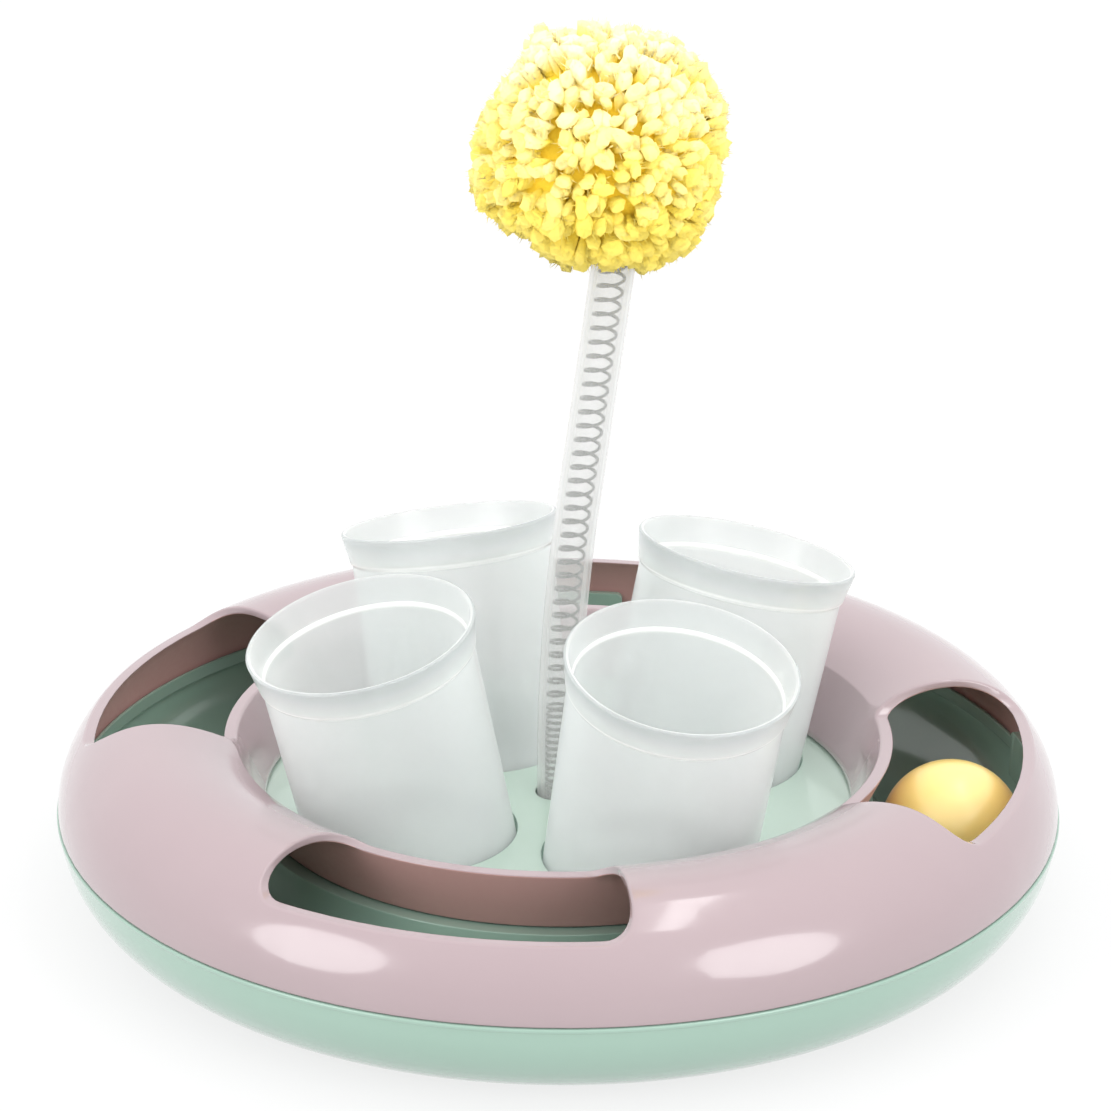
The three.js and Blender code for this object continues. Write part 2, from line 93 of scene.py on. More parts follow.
def linear(code: str) -> tuple[float, float, float, float]:
    """Turns an sRGB hex colour into linear light.

    Args:
        code: six hex digits.

    Returns:
        Linear red, green, blue and an alpha of 1.
    """
    parts = [int(code[i : i + 2], 16) / 255 for i in (0, 2, 4)]
    light = [c / 12.92 if c <= 0.04045 else ((c + 0.055) / 1.055) ** 2.4 for c in parts]
    return (light[0], light[1], light[2], 1.0)


def set_sockets(node: bpy.types.Node, values: dict[Any, Any]) -> None:
    """Sets the sockets of a node.

    Args:
        node: a shader or another node.
        values: value of each socket, where an output socket means a link.
    """
    for key, value in values.items():
        if isinstance(value, bpy.types.NodeSocket):
            node.id_data.links.new(value, node.inputs[key])
        else:
            node.inputs[key].default_value = value


def add_node(
    tree: bpy.types.NodeTree,
    kind: str,
    inputs: dict[Any, Any],
    output: str | int = 0,
    **settings: Any,
) -> bpy.types.NodeSocket:
    """Adds a node with its settings and links.

    Args:
        tree: tree that gets the node.
        kind: Blender's name of the node's type, without the word that all of them start with.
        inputs: values of the node's sockets, where an output socket means a link.
        output: name or number of the output that is wanted.
        settings: properties of the node itself.

    Returns:
        The wanted output of the new node.
    """
    node = tree.nodes.new(f"ShaderNode{kind}")
    for key, value in settings.items():
        setattr(node, key, value)
    set_sockets(node, inputs)
    return node.outputs[output]


class Effect(Enum):
    """What a pattern changes, by the shader's socket."""

    COLOUR = "Base Color"
    GLOSS = "Roughness"
    RELIEF = "Normal"


def lay_pattern(
    shader: bpy.types.Node,
    effect: Effect,
    size_mm: float,
    detail: float,
    ends: tuple[Any, Any],
    stretch: Triple = (1.0, 1.0, 1.0),
) -> None:
    """Lays a cloudy pattern of a real size over a material.

    Args:
        shader: the material's shader.
        effect: what the pattern changes.
        size_mm: size of the pattern's clouds.
        detail: how many finer layers it has.
        ends: two hex colours, two roughnesses, or a relief's strength and its height in metres.
        stretch: scale along each axis, below 1 where the pattern is drawn out.
    """
    tree = shader.id_data
    place = add_node(tree, "TexCoord", {}, "Object")
    place = add_node(tree, "Mapping", {"Vector": place, "Scale": stretch})
    scale = 1 / (size_mm * MM)
    cloud = add_node(tree, "TexNoise", {"Vector": place, "Scale": scale, "Detail": detail})
    first, last = ends
    if effect is Effect.COLOUR:
        colours = {0: cloud, 6: linear(first), 7: linear(last)}
        made = add_node(tree, "Mix", colours, 2, data_type="RGBA")
    elif effect is Effect.GLOSS:
        made = add_node(tree, "MapRange", {0: cloud, **NOISE_SPAN, 3: first, 4: last})
    else:
        made = add_node(tree, "Bump", {"Strength": first, "Distance": last, "Height": cloud})
    set_sockets(shader, {effect.value: made})


class Finish(Protocol):
    """What a piece is made of."""

    name: str

    def wire(self, shader: bpy.types.Node) -> None:
        """Sets the material's shader and lays its patterns."""


def material_of(finish: Finish) -> bpy.types.Material:
    """Makes the material of a finish, or finds it if it was made before.

    Args:
        finish: what the piece is made of.

    Returns:
        The material.
    """
    made = bpy.data.materials.get(finish.name)
    if made is None:
        made = bpy.data.materials.new(finish.name)
        made.use_nodes = True
        finish.wire(made.node_tree.nodes["Principled BSDF"])
    return made


@dataclass(frozen=True)
class GlossyAbs:
    """Injection-moulded ABS from a polished mould.

    It gives the eye clear softbox reflections on a slightly wavy skin, with a faint flow of the
    colour over a few centimetres and fine handling haze in the gloss.
    """

    name: str
    colour: str
    flow_colour: str
    haze: Pair = (0.13, 0.22)
    wave: Pair = (0.12, 0.0002)
    flow_mm: float = 38.0
    haze_mm: float = 5.0
    wave_mm: float = 7.0

    def wire(self, shader: bpy.types.Node) -> None:
        """Sets the material's shader and lays its patterns.

        Args:
            shader: the material's shader.
        """
        set_sockets(shader, {"IOR": 1.53, "Coat Weight": 0.8, "Coat Roughness": 0.08})
        lay_pattern(shader, Effect.COLOUR, self.flow_mm, 2.0, (self.colour, self.flow_colour))
        lay_pattern(shader, Effect.GLOSS, self.haze_mm, 4.0, self.haze)
        lay_pattern(shader, Effect.RELIEF, self.wave_mm, 1.0, self.wave)


@dataclass(frozen=True)
class FrostedPolypropylene:
    """Thin natural polypropylene from a sand-blasted mould.

    It gives the eye a milky, bluish-white wall with a soft sheen. The wall is painted whiter and more opaque
    at the ledge, a painted highlight for the bright line that the ledge catches, and greyer along its lip,
    painted shade for its dark outline, and it passes most of the light on.
    """

    name: str
    colour: str
    lip_shade_colour: str
    ledge_highlight_colour: str
    veil: Pair = (0.5, 0.95)
    shadow: float = 0.1
    frost: Pair = (0.19, 0.26)
    grain: Pair = (0.08, 0.0001)
    cloud_mm: float = 14.0
    # The blasted grain is finer, and is drawn as coarse as it needs to show
    grain_mm: float = 0.9

    def wire(self, shader: bpy.types.Node) -> None:
        """Sets the material's shader and lays its patterns.

        Args:
            shader: the material's shader.
        """
        tree = shader.id_data
        set_sockets(shader, {"IOR": 1.49, "Transmission Weight": 0.2, "Subsurface Weight": 1.0})
        set_sockets(shader, {"Subsurface Radius": (1.0, 1.0, 1.0), "Subsurface Scale": 0.005})
        lay_pattern(shader, Effect.GLOSS, self.cloud_mm, 3.0, self.frost)
        lay_pattern(shader, Effect.RELIEF, self.grain_mm, 2.0, self.grain)
        # The painted mark runs from the lip's painted shade, at 0, over the plain body, at a half, to the
        # ledge's painted highlight, at 1
        depth = add_node(tree, "Attribute", {}, "Fac", attribute_name="painted_lip_shade_ledge_light")
        body = add_node(tree, "MapRange", {0: depth, 1: 0.0, 2: 0.5})
        ledge = add_node(tree, "MapRange", {0: depth, 1: 0.5, 2: 1.0})
        lip_shade_mix = {0: body, 6: linear(self.lip_shade_colour), 7: linear(self.colour)}
        wall = add_node(tree, "Mix", lip_shade_mix, 2, data_type="RGBA")
        ledge_highlight_mix = {0: ledge, 6: wall, 7: linear(self.ledge_highlight_colour)}
        colour = add_node(tree, "Mix", ledge_highlight_mix, 2, data_type="RGBA")
        rim = add_node(tree, "LayerWeight", {"Blend": 0.4}, "Facing")
        veil = add_node(tree, "MapRange", {0: rim, 3: self.veil[0], 4: self.veil[1]})
        # The ledge is drawn more opaque too, as part of its painted highlight
        milky = add_node(tree, "Math", {0: veil, 1: ledge}, operation="MAXIMUM")
        shadow = add_node(tree, "LightPath", {}, "Is Shadow Ray")
        passed = add_node(tree, "MapRange", {0: shadow, 3: 1.0, 4: self.shadow})
        cover = add_node(tree, "Math", {0: milky, 1: passed}, operation="MULTIPLY")
        set_sockets(shader, {"Base Color": colour, "Alpha": cover})


@dataclass(frozen=True)
class SoftPvcTube:
    """Extruded soft PVC tube.

    It gives the eye a clear wall with bright edges and fine lines along the way it was drawn.
    """

    name: str
    colour: str
    veil: Pair = (0.23, 0.56)
    haze: Pair = (0.12, 0.24)
    # The real lines are finer, and are drawn as coarse as they need to show
    line_mm: float = 0.8
    drawn: Triple = (1.0, 1.0, 0.02)

    def wire(self, shader: bpy.types.Node) -> None:
        """Sets the material's shader and lays its patterns.

        Args:
            shader: the material's shader.
        """
        tree = shader.id_data
        lay_pattern(shader, Effect.GLOSS, self.line_mm, 2.0, self.haze, self.drawn)
        rim = add_node(tree, "LayerWeight", {"Blend": 0.3}, "Facing")
        veil = add_node(tree, "MapRange", {0: rim, 3: self.veil[0], 4: self.veil[1]})
        set_sockets(shader, {"IOR": 1.5, "Base Color": linear(self.colour), "Alpha": veil})


@dataclass(frozen=True)
class SatinPolystyrene:
    """Blow-moulded ball with a satin skin.

    It gives the eye a warm colour that glows a little from inside, slightly clouded, under a wide
    soft shine.
    """

    name: str
    colour: str
    deep_colour: str
    scuff: Pair = (0.3, 0.4)
    cloud_mm: float = 11.0
    scuff_mm: float = 2.5

    def wire(self, shader: bpy.types.Node) -> None:
        """Sets the material's shader and lays its patterns.

        Args:
            shader: the material's shader.
        """
        set_sockets(shader, {"IOR": 1.5, "Specular IOR Level": 1.0, "Subsurface Weight": 0.15})
        set_sockets(shader, {"Subsurface Radius": (1.0, 0.6, 0.2), "Subsurface Scale": 0.004})
        set_sockets(shader, {"Coat Weight": 1.0, "Coat Roughness": 0.35})
        lay_pattern(shader, Effect.COLOUR, self.cloud_mm, 2.0, (self.colour, self.deep_colour))
        lay_pattern(shader, Effect.GLOSS, self.scuff_mm, 4.0, self.scuff)


@dataclass(frozen=True)
class SpringWire:
    """Drawn spring steel wire, nickel bright.

    It gives the eye a grey metal with thin drawing marks that break up its shine.
    """

    name: str
    colour: str
    marks: Pair = (0.2, 0.36)
    # The real marks are finer, and are drawn as coarse as they need to show
    mark_mm: float = 0.6

    def wire(self, shader: bpy.types.Node) -> None:
        """Sets the material's shader and lays its patterns."""
        set_sockets(shader, {"Metallic": 1.0, "Base Color": linear(self.colour)})
        lay_pattern(shader, Effect.GLOSS, self.mark_mm, 3.0, self.marks)


@dataclass(frozen=True)
class AcrylicYarn:
    """Brushed acrylic yarn, cut to a pompom.

    It gives the eye tuft ends over gaps painted a deeper yellow as painted shade, each tuft in a tone of its
    own and the top ones paler as painted light, with a soft sheen from the loose fibres.
    """

    name: str
    # Deeper yellow painted into the gaps, the tuft roots and the core: painted shade
    deep_colour: str
    colour: str
    # Colour that the paler tufts lean to: partly their own tone, partly painted light on the top ones
    pale_and_top_lit_colour: str
    fibre: Pair = (0.3, 0.0006)
    # The real fibres are finer, and are drawn as coarse as they need to show
    fibre_mm: float = 0.9

    def wire(self, shader: bpy.types.Node) -> None:
        """Sets the material's shader and lays its patterns.

        Args:
            shader: the material's shader.
        """
        tree = shader.id_data
        set_sockets(shader, {"Roughness": 0.95, "Specular IOR Level": 0.1})
        set_sockets(shader, {"Sheen Weight": 0.1, "Sheen Roughness": 0.6})
        lay_pattern(shader, Effect.RELIEF, self.fibre_mm, 3.0, self.fibre)
        # Painted shade: the deep yellow at the roots and the core gives way to each tuft's own colour at its
        # end
        along = add_node(tree, "Attribute", {}, "Fac", attribute_name="gap_shade_along_tuft")
        # Each tuft's own tone, paler towards the top as painted light
        shade = add_node(tree, "Attribute", {}, "Fac", attribute_name="tuft_tone_and_top_light")
        end = {0: shade, 6: linear(self.colour), 7: linear(self.pale_and_top_lit_colour)}
        own = add_node(tree, "Mix", end, 2, data_type="RGBA")
        tuft = {0: along, 6: linear(self.deep_colour), 7: own}
        colour = add_node(tree, "Mix", tuft, 2, data_type="RGBA")
        set_sockets(shader, {"Base Color": colour})


@dataclass(frozen=True)
class PlainMoulding:
    """Small plain pieces and hidden faces: pads, plug, tip, binding and the cover's core side.

    It gives the eye a dull, fine-grained surface.
    """

    name: str
    colour: str
    gloss: Pair
    # The real grain is finer, and is drawn as coarse as it needs to show
    grain_mm: float
    grain: Pair = (0.2, 0.0001)

    def wire(self, shader: bpy.types.Node) -> None:
        """Sets the material's shader and lays its patterns.

        Args:
            shader: the material's shader.
        """
        set_sockets(shader, {"Base Color": linear(self.colour)})
        lay_pattern(shader, Effect.GLOSS, self.grain_mm, 3.0, self.gloss)
        lay_pattern(shader, Effect.RELIEF, self.grain_mm, 3.0, self.grain)


PINK_ABS = GlossyAbs("glossy_pink_abs", "A29194", "9C8A8E")
# The core side's matt gloss is real, but its colour is painted lighter and redder than the pink outside: a
# painted glow for light that comes through the shell and bounces inside the track
PINK_CORE_PAINTED_GLOW = PlainMoulding("matt_pink_abs_core_side_painted_glow", "C49894", (0.45, 0.6), 1.5)
MINT_ABS = GlossyAbs("glossy_mint_abs", "92AEA0", "8DA99B")
# The plate's top is painted lighter than the rest of the tray: painted light
MINT_PLATE_PAINTED_LIGHT = GlossyAbs("glossy_mint_abs_plate_painted_light", "AFC3B7", "AABEB2")
# Its lip colour is painted shade and its ledge colour a painted highlight
CUP_PP = FrostedPolypropylene("frosted_polypropylene", "D9DDDC", "AEB3B3", "E6E8E6")
SLEEVE_PVC = SoftPvcTube("soft_pvc_tube", "E5E6E4")
BALL_PS = SatinPolystyrene("satin_yellow_polystyrene", "F2D67E", "EFCF74")
WIRE_STEEL = SpringWire("drawn_spring_steel", "4E514C")
# The deep yellow is painted shade in the gaps; the pale one is tone and painted light on the top tufts
POMPOM_YARN = AcrylicYarn("brushed_acrylic_yarn", "FFDF4A", "FFE76A", "FFF2BE")
PAD_RUBBER = PlainMoulding("anti_slip_rubber", "D9D9D6", (0.7, 0.9), 0.6)
WHITE_PP = PlainMoulding("white_polypropylene", "E9E9E6", (0.4, 0.55), 1.2)
BIND_THREAD = PlainMoulding("binding_thread", "F3E6A8", (0.8, 0.95), 0.4)


# Mesh helpers


def arc(middle: Point, radius: float, start: float, end: float, steps: int) -> list[Point]:
    """Points of an arc in a profile.

    Args:
        middle: centre as radius and height.
        radius: radius of the arc.
        start: first angle in degrees, from the outward direction.
        end: last angle in degrees.
        steps: number of equal steps.

    Returns:
        The points from start to end.
    """
    turns = [math.radians(start + (end - start) * i / steps) for i in range(steps + 1)]
    return [(middle[0] + radius * math.cos(a), middle[1] + radius * math.sin(a)) for a in turns]


def eased(before: Point, corner: Point, after: Point, length: float, steps: int) -> list[Point]:
    """Points that ease a profile's corner between its two neighbours.

    Args:
        before: point ahead of the corner.
        corner: the corner.
        after: point behind the corner.
        length: distance from the corner at which the rounding starts and ends.
        steps: number of steps along the rounding.

    Returns:
        The points that take the corner's place.
    """
    c = Vector(corner)
    first = c + (Vector(before) - c).normalized() * length
    last = c + (Vector(after) - c).normalized() * length
    points = []
    for i in range(steps + 1):
        t = i / steps
        p = first * (1 - t) ** 2 + c * 2 * t * (1 - t) + last * t**2
        points.append((p.x, p.y))
    return points


def between(start: Point, end: Point, length: float) -> Point:
    """Point on the line from start to end at a distance from start."""
    p = Vector(start) + (Vector(end) - Vector(start)).normalized() * length
    return (p.x, p.y)


def draw_profile(bm: BMesh, points: Sequence[Point], closed: bool) -> list[BMVert | BMEdge]:
    """Draws a profile in the XZ plane.

    Args:
        bm: mesh that gets the profile.
        points: radius and height of each point.
        closed: whether the last point joins the first.

    Returns:
        The profile's vertices and edges.
    """
    verts = [bm.verts.new((r, 0, z)) for r, z in points]
    pairs = list(zip(verts, verts[1:] + verts[:1]))
    edges = [bm.edges.new(pair) for pair in (pairs if closed else pairs[:-1])]
    return [*verts, *edges]


def spin(bm: BMesh, geom: list[Any], degrees: float, steps: int, rise: float = 0.0) -> list[Any]:
    """Spins a profile about Z.

    Args:
        bm: mesh that holds the profile.
        geom: the profile's vertices and edges.
        degrees: angle of the spin.
        steps: number of steps.
        rise: height that the profile climbs meanwhile.

    Returns:
        The profile at the end of the spin.
    """
    made = bmesh.ops.spin(
        bm,
        geom=geom,
        cent=(0, 0, 0),
        axis=(0, 0, 1),
        dvec=(0, 0, rise / steps),
        angle=math.radians(degrees),
        steps=steps,
        use_merge=False,
    )
    return made["geom_last"]


def spin_round(bm: BMesh, geom: list[Any], sectors: Iterable[tuple[float, int]]) -> None:
    """Spins a profile about Z through sectors of different fineness and closes the ring.

    Args:
        bm: mesh that holds the profile.
        geom: the profile's vertices and edges.
        sectors: angle in degrees and number of steps of each sector, a full turn in all.
    """
    for degrees, steps in sectors:
        geom = spin(bm, geom, degrees, steps)
    bmesh.ops.remove_doubles(bm, verts=bm.verts, dist=NEAR / 10)
    bmesh.ops.recalc_face_normals(bm, faces=bm.faces)


def turned_solid(points: Sequence[Point], facets: int, closed: bool = False) -> BMesh:
    """Makes a turned solid.

    Args:
        points: profile as radius and height.
        facets: facets round the axis.
        closed: whether the profile is a closed loop away from the axis.

    Returns:
        The solid about Z.
    """
    bm = bmesh.new()
    spin_round(bm, draw_profile(bm, points, closed), [(FULL_TURN, facets)])
    return bm


def sharp_edges(bm: BMesh, degrees: float = CREASE) -> list[BMEdge]:
    """Edges whose two faces meet at more than an angle."""
    limit = math.radians(degrees)
    return [e for e in bm.edges if len(e.link_faces) == 2 and e.calc_face_angle(0.0) > limit]


def round_edges(bm: BMesh, edges: list[BMEdge], width: float, segments: int = 2) -> None:
    """Rounds edges.

    Args:
        bm: mesh that holds the edges.
        edges: the edges.
        width: width of the rounding in the mesh's own units.
        segments: number of faces across the rounding.
    """
    bmesh.ops.bevel(
        bm,
        geom=edges,
        offset=width,
        offset_type="OFFSET",
        segments=segments,
        profile=0.5,
        affect="EDGES",
        clamp_overlap=True,
        material=-1,
    )


def merge_in(bm: BMesh, other: BMesh, place: Matrix) -> None:
    """Moves another mesh to its place and adds it to a mesh.

    Args:
        bm: mesh that gets the other.
        other: the other mesh, which is used up.
        place: its place.
    """
    bmesh.ops.transform(other, matrix=place, verts=other.verts)
    carrier = bpy.data.meshes.new("carrier")
    other.to_mesh(carrier)
    other.free()
    bm.from_mesh(carrier)
    bpy.data.meshes.remove(carrier)


def direction(azimuth: float, elevation: float) -> Vector:
    """Unit vector towards an azimuth from X and an elevation, both in degrees."""
    a, e = math.radians(azimuth), math.radians(elevation)
    return Vector((math.cos(a) * math.cos(e), math.sin(a) * math.cos(e), math.sin(e)))


@dataclass(frozen=True)
class Bend:
    """Stretch over which a flexible piece bends between two bodies, as heights in millimetres."""

    lower_body: str
    upper_body: str
    start_z: float
    end_z: float


def finish_piece(
    name: str,
    bm: BMesh,
    finish: Finish,
    rides: str | Bend,
    stands_for: Sequence[str],
    even_normals: bool = True,
) -> bpy.types.Object:
    """Turns a mesh in millimetres into a finished piece of the toy.

    Args:
        name: name of the piece.
        bm: its mesh, which is used up.
        finish: what it is made of.
        rides: body that carries it, or the bend between two bodies.
        stands_for: solids of the part that it replaces.
        even_normals: whether large faces decide the shading at their edges.

    Returns:
        The finished object.
    """
    bmesh.ops.scale(bm, vec=(MM, MM, MM), verts=bm.verts)
    for face in bm.faces:
        face.smooth = True
    mesh = bpy.data.meshes.new(name)
    bm.to_mesh(mesh)
    bm.free()
    piece = bpy.data.objects.new(name, mesh)
    bpy.context.scene.collection.objects.link(piece)
    mesh.materials.append(material_of(finish))
    if even_normals:
        shading = piece.modifiers.new("even_shading", "WEIGHTED_NORMAL")
        shading.keep_sharp = True
    if isinstance(rides, Bend):
        start, end = (0, 0, rides.start_z * MM), (0, 0, rides.end_z * MM)
        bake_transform(piece, rides.lower_body, rides.upper_body, start, end)
    else:
        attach(piece, rides)
    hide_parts(*stands_for)
    LOG.info("%s: %d faces, %s", name, len(mesh.polygons), finish.name)
    return piece


# Sub-assemblies


@dataclass(frozen=True)
class Ring:
    """Sizes that the tray, the cover and what stands in them share, in millimetres."""

    middle_r: float = 97.017
    tube_r: float = 23.0
    shell: float = 2.0
    seam_z: float = 23.6
    seam_gap: float = 0.04
    fit: float = 0.3
    plate_z: float = 23.1
    quarters: int = 4

    @property
    def channel_r(self) -> float:
        """Inside radius of the track tube."""
        return self.tube_r - self.shell

    @property
    def tube_middle(self) -> Point:
        """Middle of the tube's section."""
        return (self.middle_r, self.seam_z)

    @property
    def pitch(self) -> float:
        """Angle in degrees from one window, cup, tab or foot to the next."""
        return FULL_TURN / self.quarters

    def seam_angle(self, radius: float) -> float:
        """Angle in degrees at which an arc of the tube meets the gap at the seam."""
        return math.degrees(math.asin(self.seam_gap / 2 / radius))

    def toward(self, degrees: float) -> Matrix:
        """Turn about the ring's axis to a direction."""
        return Matrix.Rotation(math.radians(degrees), 4, "Z")


class Wall(Enum):
    """The four walls of the cover's section, each rising steadily."""

    OUTER_SKIN = "outer skin of the outer wall"
    BASIN_SKIN = "skin of the basin and the shoulder"
    BASIN_BACK = "back of the basin and the shoulder"
    OUTER_BACK = "back of the outer wall"


@dataclass
class TrackCover:
    """Pink upper half of the track: crown, shoulder, basin wall and four windows."""

    ring: Ring
    lip_r: float = 70.517
    lip_z: float = 23.4
    lip_h: float = 1.6
    lip_ease: float = 0.6
    basin_wall: float = 2.8
    shoulder_reach: float = 19.7
    shoulder_drop: float = 6.7
    window_half: float = 22.5
    sill: float = 16.0
    corner_r: float = 6.0
    edge_round: float = 0.55
    edge_segments: int = 3
    crease: float = 40.0
    core_facing: float = 0.4
    low_steps: int = 9
    high_steps: int = 12
    shoulder_steps: int = 10
    ease_steps: int = 3
    # Rows of the basin wall, as shares of the way down
    wall_rows: tuple[float, ...] = (0.07, 0.2, 0.4, 0.6, 0.8)
    sectors: tuple[tuple[float, int], ...] = ((15.0, 5), (7.5, 10), (7.5, 10), (15.0, 5))
    walls: dict[Wall, list[Point]] = field(default_factory=dict)

    @property
    def sill_z(self) -> float:
        """Height of the windows' sills."""
        return self.ring.seam_z + self.sill

    @property
    def shoulder_r(self) -> float:
        """Radius of the shoulder between the crest and the basin's edge."""
        return (self.shoulder_reach**2 + self.shoulder_drop**2) / (2 * self.shoulder_drop)

    @property
    def shoulder_middle(self) -> Point:
        """Middle of the shoulder's arc."""
        return (self.ring.middle_r, self.ring.seam_z + self.ring.tube_r - self.shoulder_r)

    @property
    def edge(self) -> Point:
        """Edge between the shoulder and the basin wall, before it is eased."""
        crest = self.ring.seam_z + self.ring.tube_r
        return (self.ring.middle_r - self.shoulder_reach, crest - self.shoulder_drop)

    @property
    def lip_top(self) -> Point:
        """Top of the upright lip below the basin wall."""
        return (self.lip_r, self.lip_z + self.lip_h)

    @property
    def slope(self) -> Vector:
        """Way up the basin wall."""
        return (Vector(self.edge) - Vector(self.lip_top)).normalized()

    def _sill_angle(self, radius: float) -> float:
        """Angle in degrees at which an arc of the tube reaches the sills."""
        return math.degrees(math.asin(self.sill / radius))

    def _skin(self) -> None:
        """Works out the outer skin, from the seam over the crown to the basin's lip."""
        ring = self.ring
        seam, sill = ring.seam_angle(ring.tube_r), self._sill_angle(ring.tube_r)
        low = arc(ring.tube_middle, ring.tube_r, seam, sill, self.low_steps)
        high = arc(ring.tube_middle, ring.tube_r, sill, 90.0, self.high_steps)
        self.walls[Wall.OUTER_SKIN] = low + high[1:]

        ease = (self.edge[1] - ring.seam_z - self.sill) / self.slope.y
        turn = math.degrees(math.asin((self.shoulder_reach - ease) / self.shoulder_r))
        crown = arc(self.shoulder_middle, self.shoulder_r, 90.0, 90.0 + turn, self.shoulder_steps)
        rim = eased(crown[-1], self.edge, self.lip_top, ease, self.ease_steps)
        lip = (self.lip_r, self.lip_z)
        foot = eased(self.edge, self.lip_top, lip, self.lip_ease, self.ease_steps)
        wall = [tuple(Vector(rim[-1]).lerp(Vector(foot[0]), t)) for t in self.wall_rows]
        self.walls[Wall.BASIN_SKIN] = [*crown, *rim[1:], *wall, *foot, lip]

    def _back(self) -> None:
        """Works out the inner skin, from the lip over the crown's underside to the seam."""
        ring, slope = self.ring, self.slope
        start = Vector(self.lip_top) + Vector((slope.y, -slope.x)) * self.basin_wall
        start += slope * ((self.lip_z - start.y) / slope.y)
        under_r = self.shoulder_r - ring.shell
        rise = math.degrees(math.asin((self.sill_z - self.shoulder_middle[1]) / under_r))
        steps = self.shoulder_steps + self.ease_steps
        crown = arc(self.shoulder_middle, under_r, 180.0 - rise, 90.0, steps)
        wall = [tuple(start.lerp(Vector(crown[0]), 1 - t)) for t in reversed(self.wall_rows)]
        self.walls[Wall.BASIN_BACK] = [(start.x, start.y), *wall, *crown]

        seam, sill = ring.seam_angle(ring.channel_r), self._sill_angle(ring.channel_r)
        high = arc(ring.tube_middle, ring.channel_r, 90.0, sill, self.high_steps)
        low = arc(ring.tube_middle, ring.channel_r, sill, seam, self.low_steps)
        self.walls[Wall.OUTER_BACK] = high + low[1:]

    def _radius_at(self, wall: Wall, z: float) -> float:
        """Radius of a wall at a height.

        Args:
            wall: one wall of the section.
            z: height in millimetres.

        Returns:
            The radius, between the wall's nearest two points.
        """
        line = sorted((p[1], p[0]) for p in self.walls[wall])
        i = min(max(bisect_left(line, (z, 0.0)), 1), len(line) - 1)
        (z0, r0), (z1, r1) = line[i - 1], line[i]
        return r0 + (r1 - r0) * (z - z0) / max(z1 - z0, 1e-9)

    def _wall_of(self, vert: BMVert) -> Wall:
        """The wall that a vertex of the spun section lies on."""
        here = (math.hypot(vert.co.x, vert.co.y), vert.co.z)
        return min(self.walls, key=lambda wall: min(math.dist(p, here) for p in self.walls[wall]))

    def _off_window(self, place: Vector) -> Pair:
        """Finds the window that is nearest to a place.

        Args:
            place: a place on the cover.

        Returns:
            Direction of the window's middle and the turn from it to the place, in degrees.
        """
        turn = math.degrees(math.atan2(place.y, place.x))
        middle = round(turn / self.ring.pitch) * self.ring.pitch
        return middle, turn - middle

    def _round_corners(self, bm: BMesh) -> None:
        """Draws the windows' square corners round, along the walls that they are cut in.

        Args:
            bm: the cover with open windows.
        """
        girth = self.ring.middle_r
        half = math.radians(self.window_half) * girth - self.corner_r
        level = self.sill_z + self.corner_r
        for vert in bm.verts:
            middle, turn = self._off_window(vert.co)
            a, b = math.radians(abs(turn)) * girth - half, level - vert.co.z
            reach = max(a, b)
            if a <= 0 or b <= 0 or reach >= 2 * self.corner_r:
                continue
            # The corner's own square turns into a circle, and the change fades out beyond it
            far = max(reach / self.corner_r - 1, 0.0)
            share = reach / math.hypot(a, b)
            share += (1 - share) * far * far * (3 - 2 * far)
            z = level - b * share
            r = self._radius_at(self._wall_of(vert), z)
            angle = math.radians(middle) + math.copysign((half + a * share) / girth, turn)
            vert.co = (r * math.cos(angle), r * math.sin(angle), z)

    def build(self) -> BMesh:
        """Spins the section, opens the windows and rounds their edges.

        Returns:
            The cover's mesh.
        """
        self._skin()
        self._back()
        bm = bmesh.new()
        crown, basin = self.walls[Wall.OUTER_SKIN], self.walls[Wall.BASIN_SKIN]
        under, back = self.walls[Wall.OUTER_BACK], self.walls[Wall.BASIN_BACK]
        profile = draw_profile(bm, crown + basin[1:] + back + under[1:], closed=True)
        spin_round(bm, profile, self.sectors * (2 * self.ring.quarters))
        cut = []
        for face in bm.faces:
            middle = face.calc_center_median()
            if middle.z > self.sill_z and abs(self._off_window(middle)[1]) < self.window_half:
                cut.append(face)
        bmesh.ops.delete(bm, geom=cut, context="FACES")
        self._round_corners(bm)
        rims: dict[float, list[BMEdge]] = {}
        for edge in bm.edges:
            if edge.is_boundary:
                window = round(self._off_window(edge.verts[0].co)[0]) % FULL_TURN
                rims.setdefault(window, []).append(edge)
        for rim in rims.values():
            bmesh.ops.bridge_loops(bm, edges=rim)
        bmesh.ops.recalc_face_normals(bm, faces=bm.faces)
        round_edges(bm, sharp_edges(bm, self.crease), self.edge_round, self.edge_segments)
        self._mark_core_side(bm)
        return bm

    def _mark_core_side(self, bm: BMesh) -> None:
        """Gives the faces towards the track, which the mould's core leaves matt, their finish, painted
        lighter and redder as a glow of light through the shell.

        Args:
            bm: the cover's mesh.
        """
        for face in bm.faces:
            middle = face.calc_center_median()
            ring_way = Vector((middle.x, middle.y, 0)).normalized() * self.ring.middle_r
            inward = ring_way + Vector((0, 0, self.ring.seam_z)) - middle
            face.material_index = int(face.normal.dot(inward.normalized()) > self.core_facing)

    def dress(self) -> None:
        """Finishes the cover as glossy pink ABS with a matt core side painted with a redder glow."""
        bm = self.build()
        cover = finish_piece("pink_cover", bm, PINK_ABS, "base", ["track_cover"])
        cover.data.materials.append(material_of(PINK_CORE_PAINTED_GLOW))


